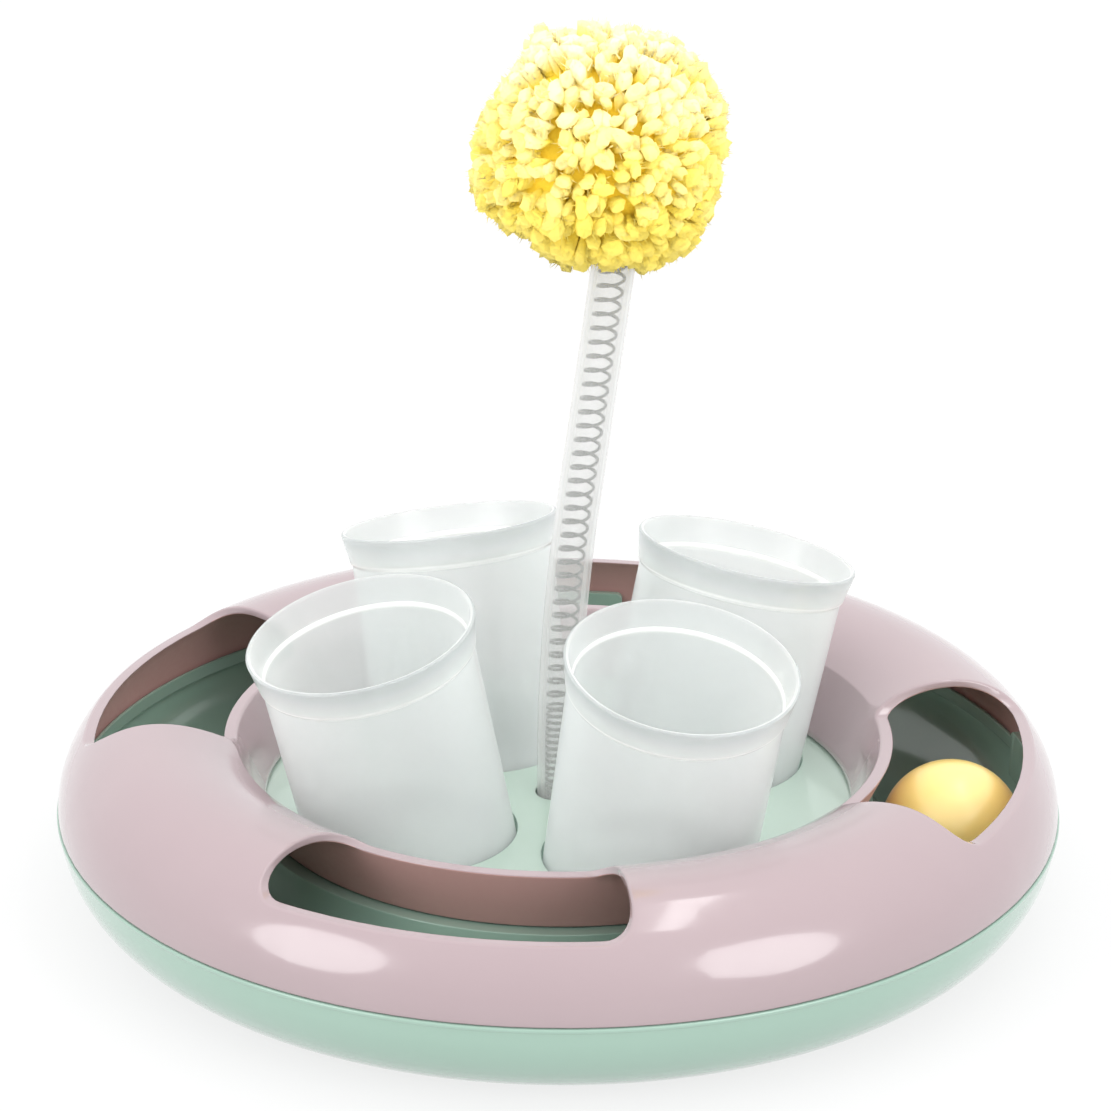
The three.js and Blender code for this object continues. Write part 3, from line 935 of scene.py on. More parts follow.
@dataclass
class Cups:
    """Four frosted snack cups, each leaning outwards in its socket."""

    ring: Ring
    height: float = 65.0
    foot_r: float = 24.3
    neck_r: float = 25.1
    band_r: float = 25.7
    rim_r: float = 27.0
    band_h: float = 7.5
    wall: float = 1.2
    corner_r: float = 2.5
    corner_steps: int = 8
    neck_ease: float = 0.25
    band_ease: float = 0.3
    ease_steps: int = 3
    lip_turn: float = 8.0
    # Share of the wall at the lip that gets painted shade, and slack round the ledge that gets a painted
    # highlight
    lip_share: float = 0.4
    ledge_slack: float = 0.05
    fade: float = 1.3
    lean: float = 13.5
    stand_r: float = 38.396
    stand_z: float = 12.404
    facets: int = 96
    names: tuple[str, ...] = ("back_right", "back_left", "front_left", "front_right")

    def place(self, index: int) -> Matrix:
        """Frame of a cup: origin at the middle of its foot, Z along its leaning axis.

        Args:
            index: number of the cup, counted from the back right.

        Returns:
            The cup's frame.
        """
        turn = self.ring.toward(self.ring.pitch / 2 + index * self.ring.pitch)
        stand = Matrix.Translation((self.stand_r, 0, self.stand_z))
        return turn @ stand @ Matrix.Rotation(math.radians(self.lean), 4, "Y")

    def build(self) -> BMesh:
        """Turns a cup: rounded foot, slightly widening body and flared rim band with a ledge.

        Returns:
            The cup's mesh in its own frame.
        """
        band_z, lip, steps = self.height - self.band_h, self.wall / 2, self.ease_steps
        corner = (self.foot_r - self.corner_r, self.corner_r)
        neck, band = (self.neck_r, band_z - lip), (self.band_r, band_z)
        edge = (self.rim_r, self.height)
        outside = [(0.0, 0.0), *arc(corner, self.corner_r, -90.0, 0.0, self.corner_steps)]
        heel = outside[-1]
        outside += [between(neck, heel, self.fade), *eased(heel, neck, band, self.neck_ease, steps)]
        outside += [*eased(neck, band, edge, self.band_ease, steps), between(band, edge, self.fade)]
        lip_middle = (self.rim_r - lip, self.height - lip)
        top = arc(lip_middle, lip, self.lip_turn, 180.0 - self.lip_turn, self.corner_steps)
        rim_in = (self.rim_r - self.wall, self.height)
        ledge_top = (self.band_r - self.wall, band_z + self.wall)
        ledge_foot = (self.neck_r - self.wall, band_z + lip)
        foot = (self.foot_r - self.wall, self.corner_r)
        inside = [between(ledge_top, rim_in, self.fade)]
        inside += eased(rim_in, ledge_top, ledge_foot, self.band_ease, steps)
        inside += eased(ledge_top, ledge_foot, foot, self.neck_ease, steps)
        inside.append(between(ledge_foot, foot, self.fade))
        inside += arc(corner, self.corner_r - self.wall, 0.0, -90.0, self.corner_steps)
        bm = turned_solid([*outside, *top, *inside, (0.0, self.wall)], self.facets)
        # Marks the lip for painted shade and the ledge for a painted highlight; the rest is plain wall
        depth = bm.verts.layers.float.new("painted_lip_shade_ledge_light")
        lip_z, lip_r = self.height - self.wall, self.rim_r - self.lip_share * self.wall
        for vert in bm.verts:
            rise = vert.co.z - band_z
            ledge = -lip - self.ledge_slack < rise < self.wall + self.ledge_slack
            lipped = vert.co.z > lip_z and vert.co.xy.length > lip_r
            vert[depth] = 1.0 if ledge else 0.0 if lipped else 0.5
        return bm

    def dress(self) -> None:
        """Finishes the cups as frosted polypropylene, each on a body of its own."""
        for index, name in enumerate(self.names):
            bm = self.build()
            bmesh.ops.transform(bm, matrix=self.place(index), verts=bm.verts)
            node = f"cup_{name}"
            finish_piece(f"frosted_{node}", bm, CUP_PP, node, [node])


@dataclass
class BaseTray:
    """Mint lower half of the track with the centre plate, cup sockets, wand boss, tabs and feet."""

    ring: Ring
    cups: Cups
    plate_t: float = 2.2
    plate_r: float = 72.0
    socket_play: float = 0.6
    socket_wall: float = 1.6
    socket_floor: float = -0.3
    bore_r: float = 5.45
    boss_wall: float = 2.6
    boss_z: float = 7.1
    rim_strip: float = 0.9
    brim_proud: float = 0.35
    bead: float = 3.0
    tongue_h: float = 1.5
    tongue_t: float = 1.0
    tongue_root: float = 2.4
    tab_first: float = 15.9
    tab_half: float = 10.6
    tab_h: float = 5.2
    tab_t: float = 2.0
    tab_root: float = 7.0
    tab_corner_r: float = 2.2
    tab_corner_segments: int = 6
    foot_r: float = 5.0
    foot_t: float = 1.6
    foot_gap: float = 0.3
    foot_rim: float = 1.4
    foot_proud: float = 0.6
    foot_inset: float = 7.0
    collar_h: float = 4.0
    collar_round: float = 0.25
    pad_segments: int = 3
    facets: int = 180
    loop_facets: int = 72
    foot_facets: int = 48
    trough_steps: int = 30
    tab_steps: int = 24

    def _trough(self) -> BMesh:
        """Spins the tube's lower half, open towards the centre plate.

        Returns:
            The trough's mesh.
        """
        ring = self.ring
        under = ring.plate_z - self.plate_t
        inner = 180.0 + math.degrees(math.asin((ring.seam_z - ring.plate_z) / ring.channel_r))
        outer = 180.0 + math.degrees(math.asin((ring.seam_z - under) / ring.tube_r))
        root = FULL_TURN - math.degrees(math.asin(self.tongue_root / ring.channel_r))
        end = FULL_TURN - ring.seam_angle(ring.tube_r)
        channel = arc(ring.tube_middle, ring.channel_r, inner, root, self.trough_steps)
        hull = arc(ring.tube_middle, ring.tube_r, end - self.bead, outer, self.trough_steps)
        rim = ring.seam_z - ring.seam_gap / 2
        brim = ring.middle_r + ring.tube_r + self.brim_proud
        bead = [(brim, rim), (brim, hull[0][1] + self.brim_proud)]
        out_r = ring.middle_r + math.sqrt(ring.channel_r**2 - self.tongue_h**2) - ring.fit
        in_r = out_r - self.tongue_t
        tip = ring.seam_z + self.tongue_h
        step = ring.seam_z - self.tongue_root + self.tongue_t / 2
        tongue = [(in_r, step), (in_r, tip), (out_r, tip), (out_r, rim)]
        plate_top, plate_foot = (self.plate_r, ring.plate_z), (self.plate_r, under)
        section = [plate_top, *channel, *tongue, *bead, *hull, plate_foot]
        return turned_solid(section, self.facets)

    def _loop(self, bm: BMesh, radius: float, place: Matrix, level: float) -> list[BMEdge]:
        """Draws where a round bore meets a level plane.

        Args:
            bm: mesh that gets the loop.
            radius: radius of the bore.
            place: frame of the bore, with Z along it.
            level: height of the plane.

        Returns:
            The loop's edges.
        """
        made = bmesh.ops.create_circle(
            bm, cap_ends=False, segments=self.loop_facets, radius=radius, matrix=place
        )
        axis = place.col[2].xyz
        for vert in made["verts"]:
            vert.co += axis * ((level - vert.co.z) / axis.z)
        return list(dict.fromkeys(edge for vert in made["verts"] for edge in vert.link_edges))

    def _sink(self, bm: BMesh, loop: list[BMEdge], place: Matrix, floor: float) -> list[BMEdge]:
        """Draws a loop's wall along a bore to a floor square to it.

        Args:
            bm: mesh that holds the loop.
            loop: edges of the loop.
            place: frame of the bore.
            floor: height of the floor along the bore.

        Returns:
            The edges of the floor's outline.
        """
        made = bmesh.ops.extrude_edge_only(bm, edges=loop)["geom"]
        axis = place.col[2].xyz
        lower = {g for g in made if isinstance(g, BMVert)}
        for vert in lower:
            vert.co += axis * (floor - (vert.co - place.translation).dot(axis))
        return [g for g in made if isinstance(g, BMEdge) and set(g.verts) <= lower]

    def _plate(self, bm: BMesh, level: float, side: float) -> list[BMEdge]:
        """Fills one side of the centre plate round its sockets and its boss.

        Args:
            bm: the trough, open towards the plate.
            level: height of this side.
            side: extra radius of the bores on this side.

        Returns:
            The edges of the boss at its foot.
        """
        border = [e for e in bm.edges if e.is_boundary and abs(e.verts[0].co.z - level) < NEAR]
        centre = Matrix()
        socket_r = self.cups.foot_r + self.socket_play + side
        bores = [(socket_r, self.cups.place(i)) for i in range(self.ring.quarters)]
        bores.append((self.bore_r + (self.boss_wall if side else 0.0), centre))
        holes = []
        for radius, place in bores:
            hole = self._loop(bm, radius, place, level)
            strip = self._loop(bm, radius + self.rim_strip, place, level)
            bmesh.ops.bridge_loops(bm, edges=hole + strip)
            border += strip
            holes.append(hole)
        bmesh.ops.triangle_fill(bm, use_beauty=True, use_dissolve=False, edges=border)
        for hole, (_, place) in zip(holes[:-1], bores[:-1]):
            floor = self._sink(bm, hole, place, self.socket_floor - side)
            bmesh.ops.edgeloop_fill(bm, edges=floor)
        return self._sink(bm, holes[-1], centre, self.boss_z)

    def _tab(self) -> BMesh:
        """Models a locating tab at the direction of X: a curved upright with round top corners.

        Returns:
            The tab's mesh.
        """
        ring = self.ring
        top, root = ring.seam_z + self.tab_h, ring.seam_z - self.tab_root
        out_r = ring.middle_r + math.sqrt(ring.channel_r**2 - self.tab_h**2) - ring.fit
        in_r = out_r - self.tab_t
        root_r = ring.middle_r + ring.tube_r - ring.shell / 2
        root_top = ring.seam_z - self.tab_t
        section = [(in_r, root), (root_r - self.tab_t, root), (root_r, root_top)]
        section += [(out_r, root_top), (out_r, top), (in_r, top)]
        bm = bmesh.new()
        profile = draw_profile(bm, section, closed=True)
        start = Matrix.Rotation(-math.radians(self.tab_half), 3, "Z")
        bmesh.ops.rotate(bm, verts=bm.verts, matrix=start)
        spin(bm, profile, 2 * self.tab_half, self.tab_steps)
        bmesh.ops.holes_fill(bm, edges=[e for e in bm.edges if e.is_boundary], sides=len(section))
        bmesh.ops.recalc_face_normals(bm, faces=bm.faces)
        corners = []
        for edge in sharp_edges(bm):
            one, other = (vert.co for vert in edge.verts)
            at_top = abs(one.z - top) < NEAR and abs(other.z - top) < NEAR
            if at_top and abs(one.xy.length - other.xy.length) > self.tab_t / 2:
                corners.append(edge)
        round_edges(bm, corners, self.tab_corner_r, self.tab_corner_segments)
        round_edges(bm, sharp_edges(bm), EDGE_ROUND)
        return bm

    def _foot_place(self, index: int) -> Matrix:
        """Frame of a foot on the floor under the tube."""
        turn = self.ring.toward(self.ring.pitch / 2 + self.ring.pitch * index)
        return turn @ Matrix.Translation((self.ring.middle_r - self.foot_inset, 0, 0))

    def _collar(self, index: int) -> BMesh:
        """Models the collar round a foot's pocket, which ends inside the tube's wall.

        Args:
            index: number of the foot.

        Returns:
            The collar's mesh in its place.
        """
        ring, low, high = self.ring, self.foot_proud, self.collar_h
        pocket = self.foot_r + self.foot_gap
        rim = pocket + self.foot_rim
        section = [(pocket, low), (rim, low), (rim, high), (pocket, high)]
        collar = turned_solid(section, self.foot_facets, closed=True)
        round_edges(collar, sharp_edges(collar), self.collar_round)
        bmesh.ops.transform(collar, matrix=self._foot_place(index), verts=collar.verts)
        for vert in collar.verts:
            if vert.co.z > high / 2:
                aside = vert.co.xy.length - ring.middle_r
                drop = math.sqrt((ring.tube_r - ring.shell / 2) ** 2 - aside**2)
                vert.co.z += ring.seam_z - drop - high
        return collar

    def build(self) -> BMesh:
        """Joins trough, plate, sockets, boss, tabs and foot collars.

        Returns:
            The tray's mesh.
        """
        bm = self._trough()
        upper = self._plate(bm, self.ring.plate_z, 0.0)
        lower = self._plate(bm, self.ring.plate_z - self.plate_t, self.socket_wall)
        bmesh.ops.bridge_loops(bm, edges=upper + lower)
        bmesh.ops.recalc_face_normals(bm, faces=bm.faces)
        round_edges(bm, sharp_edges(bm), EDGE_ROUND)
        for index in range(self.ring.quarters):
            merge_in(bm, self._tab(), self.ring.toward(self.tab_first + self.ring.pitch * index))
        for index in range(self.ring.quarters):
            merge_in(bm, self._collar(index), Matrix())
        self._mark_plate_painted_light(bm)
        return bm

    def _mark_plate_painted_light(self, bm: BMesh) -> None:
        """Gives the top of the slender centre plate its finish: a lighter copy of the mint, painted light
        for the light that falls on it and shines through it.

        Args:
            bm: the tray's mesh.
        """
        for face in bm.faces:
            middle = face.calc_center_median()
            level = abs(middle.z - self.ring.plate_z) < self.plate_t / 2
            inside = middle.xy.length < self.plate_r
            face.material_index = int(level and face.normal.z > 0 and inside)

    def dress(self) -> None:
        """Finishes the tray as glossy mint ABS and its four pads as rubber."""
        bm = self.build()
        tray = finish_piece("mint_tray", bm, MINT_ABS, "base", ["base_tray"])
        # The plate's top gets the lighter copy of the mint, which is painted light
        tray.data.materials.append(material_of(MINT_PLATE_PAINTED_LIGHT))
        section = [(0.0, 0.0), (self.foot_r, 0.0), (self.foot_r, self.foot_t), (0.0, self.foot_t)]
        for index in range(self.ring.quarters):
            pad = turned_solid(section, self.foot_facets)
            round_edges(pad, sharp_edges(pad), EDGE_ROUND, self.pad_segments)
            bmesh.ops.transform(pad, matrix=self._foot_place(index), verts=pad.verts)
            node = f"foot_{index + 1}"
            finish_piece(f"rubber_{node}", pad, PAD_RUBBER, "base", [node])


@dataclass
class TrackBall:
    """Yellow ball in the track, with a fine moulding line round its middle."""

    radius: float = 17.0
    line_depth: float = 0.12
    line_half: float = 1.0
    half_steps: int = 36
    facets: int = 96

    def build(self) -> BMesh:
        """Turns the ball about its upright axis at the place of its solid.

        Returns:
            The ball's mesh.
        """
        low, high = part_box("track_ball")
        lower = arc((0.0, 0.0), self.radius, -90.0, -self.line_half, self.half_steps)
        upper = arc((0.0, 0.0), self.radius, self.line_half, 90.0, self.half_steps)
        line = (self.radius - self.line_depth, 0.0)
        bm = turned_solid([*lower, line, *upper], self.facets)
        bmesh.ops.translate(bm, vec=(low + high) / 2 / MM, verts=bm.verts)
        return bm

    def dress(self) -> None:
        """Finishes the ball as satin yellow plastic."""
        bm = self.build()
        finish_piece("yellow_ball", bm, BALL_PS, "ball", ["track_ball"], False)


@dataclass
class Wand:
    """Clear sleeve with a coil spring inside it, bent a little to one side, and its plug."""

    ring: Ring
    sleeve_r: float = 5.15
    sleeve_wall: float = 0.9
    sleeve_rows: int = 40
    sleeve_facets: int = 48
    bottom_z: float = 11.1
    top_z: float = 164.6
    split_z: float = 78.0
    bend_rise: float = 8.0
    bend_h: float = 67.0
    lean: float = 7.4
    toward: float = 13.85
    wire_d: float = 0.8
    coil_r: float = 3.0
    close_pitch: float = 1.7
    close_rise: float = 22.0
    open_pitch: float = 3.4
    turn_steps: int = 28
    wire_sides: int = 10
    flange_z: float = 6.8
    flange_t: float = 1.6
    flange_r: float = 8.05
    plug_gap: float = 0.3
    spigot_gap: float = 0.5
    spigot_h: float = 7.0
    plug_facets: int = 64
    lower: Bend = Bend("base", "wand_lower", 40.0, 68.0)
    upper: Bend = Bend("wand_lower", "wand_upper", 90.0, 125.0)

    def aside(self, z: float) -> float:
        """Distance of the wand's line from the ring's axis.

        Args:
            z: height on the wand.

        Returns:
            The distance, none below the bend and growing evenly above it.
        """
        slope = math.tan(math.radians(self.lean))
        bent = z - self.ring.plate_z - self.bend_rise
        if bent <= 0:
            return 0.0
        if bent < self.bend_h:
            return slope * bent**2 / (2 * self.bend_h)
        return slope * (bent - self.bend_h / 2)

    def _lay_on_line(self, bm: BMesh) -> None:
        """Moves an upright mesh about Z onto the wand's line.

        Args:
            bm: the mesh.
        """
        turn = math.radians(self.toward)
        for vert in bm.verts:
            reach = self.aside(vert.co.z)
            vert.co.x += reach * math.cos(turn)
            vert.co.y += reach * math.sin(turn)

    def _sleeve(self, open_z: float, cut_z: float) -> BMesh:
        """Turns a stretch of the sleeve.

        Args:
            open_z: end at which it carries on into the next stretch.
            cut_z: end with its cut edge.

        Returns:
            The stretch's mesh.
        """
        inner, count = self.sleeve_r - self.sleeve_wall, self.sleeve_rows
        rows = [open_z + (cut_z - open_z) * i / count for i in range(count + 1)]
        section = [(self.sleeve_r, z) for z in rows] + [(inner, z) for z in reversed(rows)]
        bm = turned_solid(section, self.sleeve_facets)
        self._lay_on_line(bm)
        return bm

    def _coil(self, stretches: Sequence[Pair], start_z: float, turned: float) -> BMesh:
        """Winds a stretch of the spring.

        Args:
            stretches: height and pitch of each part of the stretch.
            start_z: height of its lower end.
            turned: turns wound below it.

        Returns:
            The wire's mesh.
        """
        bm = bmesh.new()
        start = Matrix.Translation((self.coil_r, 0, start_z)) @ Matrix.Rotation(math.pi / 2, 4, "X")
        place = self.ring.toward(FULL_TURN * turned) @ start
        bmesh.ops.create_circle(
            bm, cap_ends=True, segments=self.wire_sides, radius=self.wire_d / 2, matrix=place
        )
        last: list[Any] = [*bm.verts, *bm.edges]
        for height, pitch in stretches:
            turns = height / pitch
            last = spin(bm, last, FULL_TURN * turns, round(turns * self.turn_steps), height)
        bmesh.ops.edgeloop_fill(bm, edges=[g for g in last if isinstance(g, BMEdge)])
        bmesh.ops.recalc_face_normals(bm, faces=bm.faces)
        self._lay_on_line(bm)
        return bm

    def _plug(self) -> BMesh:
        """Turns the plug under the boss: flange, body in the bore and spigot in the spring.

        Returns:
            The plug's mesh.
        """
        flange_foot = self.flange_z - self.flange_t
        shoulder = self.bottom_z - self.plug_gap
        spigot = self.coil_r - self.wire_d / 2 - self.spigot_gap
        points = [
            (0.0, flange_foot),
            (self.flange_r, flange_foot),
            (self.flange_r, self.flange_z),
            (self.sleeve_r, self.flange_z),
            (self.sleeve_r, shoulder),
            (spigot, shoulder),
            (spigot, shoulder + self.spigot_h),
            (0.0, shoulder + self.spigot_h),
        ]
        bm = turned_solid(points, self.plug_facets)
        round_edges(bm, sharp_edges(bm), EDGE_ROUND)
        return bm

    def dress(self) -> None:
        """Finishes plug, sleeve and spring, the last two in a lower and an upper bending half."""
        close_z = self.ring.plate_z + self.close_rise
        first, last = self.bottom_z + self.wire_d, self.top_z - self.wire_d
        low = [(close_z - first, self.close_pitch), (self.split_z - close_z, self.open_pitch)]
        high = [(last - self.split_z, self.open_pitch)]
        turned = sum(height / pitch for height, pitch in low)
        coils = (self._coil(low, first, 0.0), self._coil(high, self.split_z, turned))
        tubes = (self._sleeve(self.split_z, z) for z in (self.bottom_z, self.top_z))
        halves = (("lower", self.lower), ("upper", self.upper))
        for bm, (half, bend) in zip(coils, halves):
            name = f"spring_{half}"
            finish_piece(name, bm, WIRE_STEEL, bend, ["wand_spring"], False)
        for bm, (half, bend) in zip(tubes, halves):
            name = f"sleeve_{half}"
            finish_piece(name, bm, SLEEVE_PVC, bend, ["wand_sleeve"], False)
        finish_piece("white_plug", self._plug(), WHITE_PP, "base", ["wand_plug"])


@dataclass
class Pompom:
    """Yarn pompom: tufts of cut yarn with loose fibres round a yarn core."""

    wand: Wand
    radius: float = 28.0
    longest: float = 31.0
    core_depth: float = 6.0
    core_rough: float = 0.2
    core_shade: float = 0.5
    tufts: int = 1050
    kinds: int = 8
    tuft_w: float = 2.6
    tuft_l: float = 11.0
    sides: int = 7
    rings: int = 5
    # Share of the width at a tuft's root, how blunt its end is, and how it is flattened
    root_share: float = 0.45
    blunt: float = 1.9
    flatten: Pair = (1.2, 0.75)
    # Spread of a tuft's outline, across and along it
    ragged: Pair = (0.12, 0.4)
    # How fast the painted gap shade gives way towards a tuft's end, and each tuft's tone at mid height, its
    # climb to the top, which is painted light, and its random play
    gap_shade_fade: float = 2.2
    shade: Triple = (0.24, 0.7, 0.25)
    length_play: Pair = (-1.9, 0.6)
    width_play: Pair = (0.7, 1.3)
    lean: float = 0.21
    clump: float = 1.2
    clumps: float = 5.0
    softness: float = 0.7
    stem_clear: float = 14.0
    fibres: int = 8
    fibre_l: float = 3.2
    fibre_r: float = 0.24
    fibre_pale: float = 0.9
    # Lean of a fibre at the tuft's middle, at its side and its spread, in radians
    fibre_lean: Triple = (0.1, 0.5, 0.12)
    fibre_spread: float = 0.7
    fibre_foot: Pair = (0.68, 0.84)
    fibre_play: Pair = (0.7, 1.1)
    seed: int = 7
    # Flats that the scissors left: azimuth, elevation and distance from the middle
    flat_facing: float = 0.5
    flats: tuple[Triple, ...] = (
        (11.0, -7.0, 27.2),
        (104.0, 69.0, 25.8),
        (-138.0, -51.0, 26.2),
        (-178.0, 28.0, 25.6),
        (-76.0, -69.0, 26.8),
        (-167.0, 2.0, 28.2),
        (32.0, 39.0, 29.2),
        (-8.0, -44.0, 30.0),
        (-76.0, 21.0, 27.0),
        (104.0, -21.0, 27.0),
        (-30.0, 30.0, 28.0),
        (60.0, 0.0, 27.5),
        (150.0, -10.0, 28.0),
    )

    @property
    def middle(self) -> Vector:
        """Middle of the pompom in millimetres, from the box of its solid."""
        low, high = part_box("pompom")
        return Vector((*((low + high) / 2).xy, high.z - self.radius * MM)) / MM

    def _kind(self, rng: random.Random) -> bpy.types.Mesh:
        """Models one kind of tuft on the origin: a ragged yarn end with loose fibres.

        Args:
            rng: source of the small differences.

        Returns:
            The tuft's mesh, with the place along the tuft, which sets its painted gap shade, at its
            vertices.
        """
        bm = bmesh.new()
        along = bm.verts.layers.float.new("gap_shade_along_tuft")
        bm.verts.layers.float.new("tuft_tone_and_top_light")
        body = bmesh.ops.create_uvsphere(
            bm, u_segments=self.sides, v_segments=self.rings, radius=1.0
        )
        for vert in body["verts"]:
            t = (vert.co.z + 1) / 2
            rise = 1 - (1 - t) ** self.blunt
            share = self.root_share + (1 - self.root_share) * t
            swell = self.tuft_w * share * (1 + rng.gauss(0, self.ragged[0]))
            # Painted shade: the root takes the deep yellow, giving way to the tuft's own colour near its end
            vert[along] = max(1 - self.gap_shade_fade * (1 - rise), 0.0)
            vert.co.x *= self.flatten[0] * swell
            vert.co.y *= self.flatten[1] * swell
            vert.co.z = rise * self.tuft_l + rng.gauss(0, self.ragged[1])
        upright, aside, spread = self.fibre_lean
        for _ in range(self.fibres):
            turn, out = rng.uniform(0, 2 * math.pi), math.sqrt(rng.random())
            lean = upright + aside * out + rng.gauss(0, spread)
            way = direction(math.degrees(turn), 90.0 - math.degrees(lean))
            reach = self.fibre_spread * self.tuft_w * out
            foot = Vector((math.cos(turn), math.sin(turn), 0)) * reach
            foot.z = self.tuft_l * rng.uniform(*self.fibre_foot)
            length = self.fibre_l * rng.uniform(*self.fibre_play)
            stand = Matrix.Translation(foot + way * length / 2)
            hair = bmesh.ops.create_cone(
                bm,
                cap_ends=True,
                segments=3,
                radius1=self.fibre_r,
                radius2=0.0,
                depth=length,
                matrix=stand @ way.to_track_quat("Z", "Y").to_matrix().to_4x4(),
            )
            # The fibres stand near the tuft's end and carry little of the painted gap shade
            for vert in hair["verts"]:
                vert[along] = self.fibre_pale
        mesh = bpy.data.meshes.new("tuft")
        bm.to_mesh(mesh)
        bm.free()
        return mesh

    def _reach(self, way: Vector) -> float:
        """How far the pompom reaches in a direction, between the flats that the scissors left.

        Args:
            way: the direction.

        Returns:
            The distance from the middle.
        """
        reach = self.longest
        for azimuth, elevation, distance in self.flats:
            facing = way.dot(direction(azimuth, elevation))
            if facing > self.flat_facing:
                reach = min(reach, distance / facing)
        return reach

    def _way(self, index: int) -> Vector:
        """Direction of a tuft, on a spiral that spaces the tufts evenly.

        Args:
            index: number of the tuft, counted from the top down.

        Returns:
            The direction from the pompom's middle.
        """
        up = 1 - 2 * (index + 0.5) / self.tufts
        flat = math.sqrt(1 - up * up)
        turn = math.pi * (3 - math.sqrt(5)) * index
        return Vector((flat * math.cos(turn), flat * math.sin(turn), up))

    def _stand(self, way: Vector, rng: random.Random) -> Matrix:
        """Place of a tuft round the pompom's middle.

        Args:
            way: direction of the tuft from the middle.
            rng: source of the small differences.

        Returns:
            Frame with Z along the tuft.
        """
        clump = self.clump * noise.noise(self.clumps * way)
        foot = self._reach(way) + clump + rng.uniform(*self.length_play) - self.tuft_l
        lean = Euler([rng.gauss(0, self.lean) for _ in range(3)]).to_matrix() @ way
        turned = Matrix.Rotation(rng.uniform(0, 2 * math.pi), 4, "Z")
        width = rng.uniform(*self.width_play)
        place = Matrix.Translation(way * foot) @ lean.to_track_quat("Z", "Y").to_matrix().to_4x4()
        return place @ turned @ Matrix.Diagonal((width, width, 1.0, 1.0))

    def build(self) -> BMesh:
        """Sets tufts round the core, evenly but never alike.

        Returns:
            The pompom's mesh, with each tuft's tone and painted top light, and the place along each tuft for
            its painted gap shade, at its vertices.
        """
        rng = random.Random(self.seed)
        kinds = [self._kind(rng) for _ in range(self.kinds)]
        stem = -direction(self.wand.toward, 90.0 - self.wand.lean)
        clear = math.radians(self.stem_clear)
        ways = [way for way in map(self._way, range(self.tufts)) if way.angle(stem) > clear]
        bm = bmesh.new()
        for index in range(len(ways)):
            bm.from_mesh(kinds[index % self.kinds])
        shade = bm.verts.layers.float["tuft_tone_and_top_light"]
        verts = iter(bm.verts)
        base, top_light_climb, play = self.shade
        for index, way in enumerate(ways):
            place = self._stand(way, rng)
            # Tufts higher up are paler, which is painted light; the random play is the yarn's own tone
            own = min(max(base + top_light_climb * way.z + rng.uniform(-play, play), 0.0), 1.0)
            for _ in kinds[index % self.kinds].vertices:
                vert = next(verts)
                vert.co = place @ vert.co
                vert[shade] = own
        for mesh in kinds:
            bpy.data.meshes.remove(mesh)
        # The core has no place along a tuft, so it takes the deep yellow of the painted gap shade
        for vert in bmesh.ops.create_icosphere(bm, subdivisions=4, radius=1.0)["verts"]:
            vert[shade] = self.core_shade
            vert.co *= self._reach(vert.co) - self.core_depth + rng.gauss(0, self.core_rough)
        bmesh.ops.translate(bm, vec=self.middle, verts=bm.verts)
        return bm

    def _soften(self, mesh: bpy.types.Mesh) -> None:
        """Turns the shading of the tufts outward in part, as light wanders between the fibres.

        Args:
            mesh: the finished mesh.
        """
        middle = self.middle * MM
        normals = []
        for vert in mesh.vertices:
            normals.append(vert.normal.lerp((vert.co - middle).normalized(), self.softness))
        mesh.normals_split_custom_set_from_vertices(normals)

    def dress(self) -> None:
        """Finishes the pompom as acrylic yarn, and the hidden tip and binding below it."""
        bm = self.build()
        yarn = finish_piece("yarn_pompom", bm, POMPOM_YARN, "wand_upper", ["pompom"], False)
        self._soften(yarn.data)
        for node, finish in (("wand_tip", WHITE_PP), ("pompom_tie", BIND_THREAD)):
            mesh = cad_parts[node].data
            mesh.materials.clear()
            mesh.materials.append(material_of(finish))


# Studio


class LampShape(Enum):
    """Outline of a softbox."""

    OVAL = "ELLIPSE"
    STRIP = "RECTANGLE"


@dataclass(frozen=True)
class Softbox:
    """A soft studio lamp, placed by its direction from the toy, in metres and degrees."""

    name: str
    azimuth: float
    elevation: float
    distance: float
    width: float
    height: float
    watts: float
    shape: LampShape = LampShape.OVAL


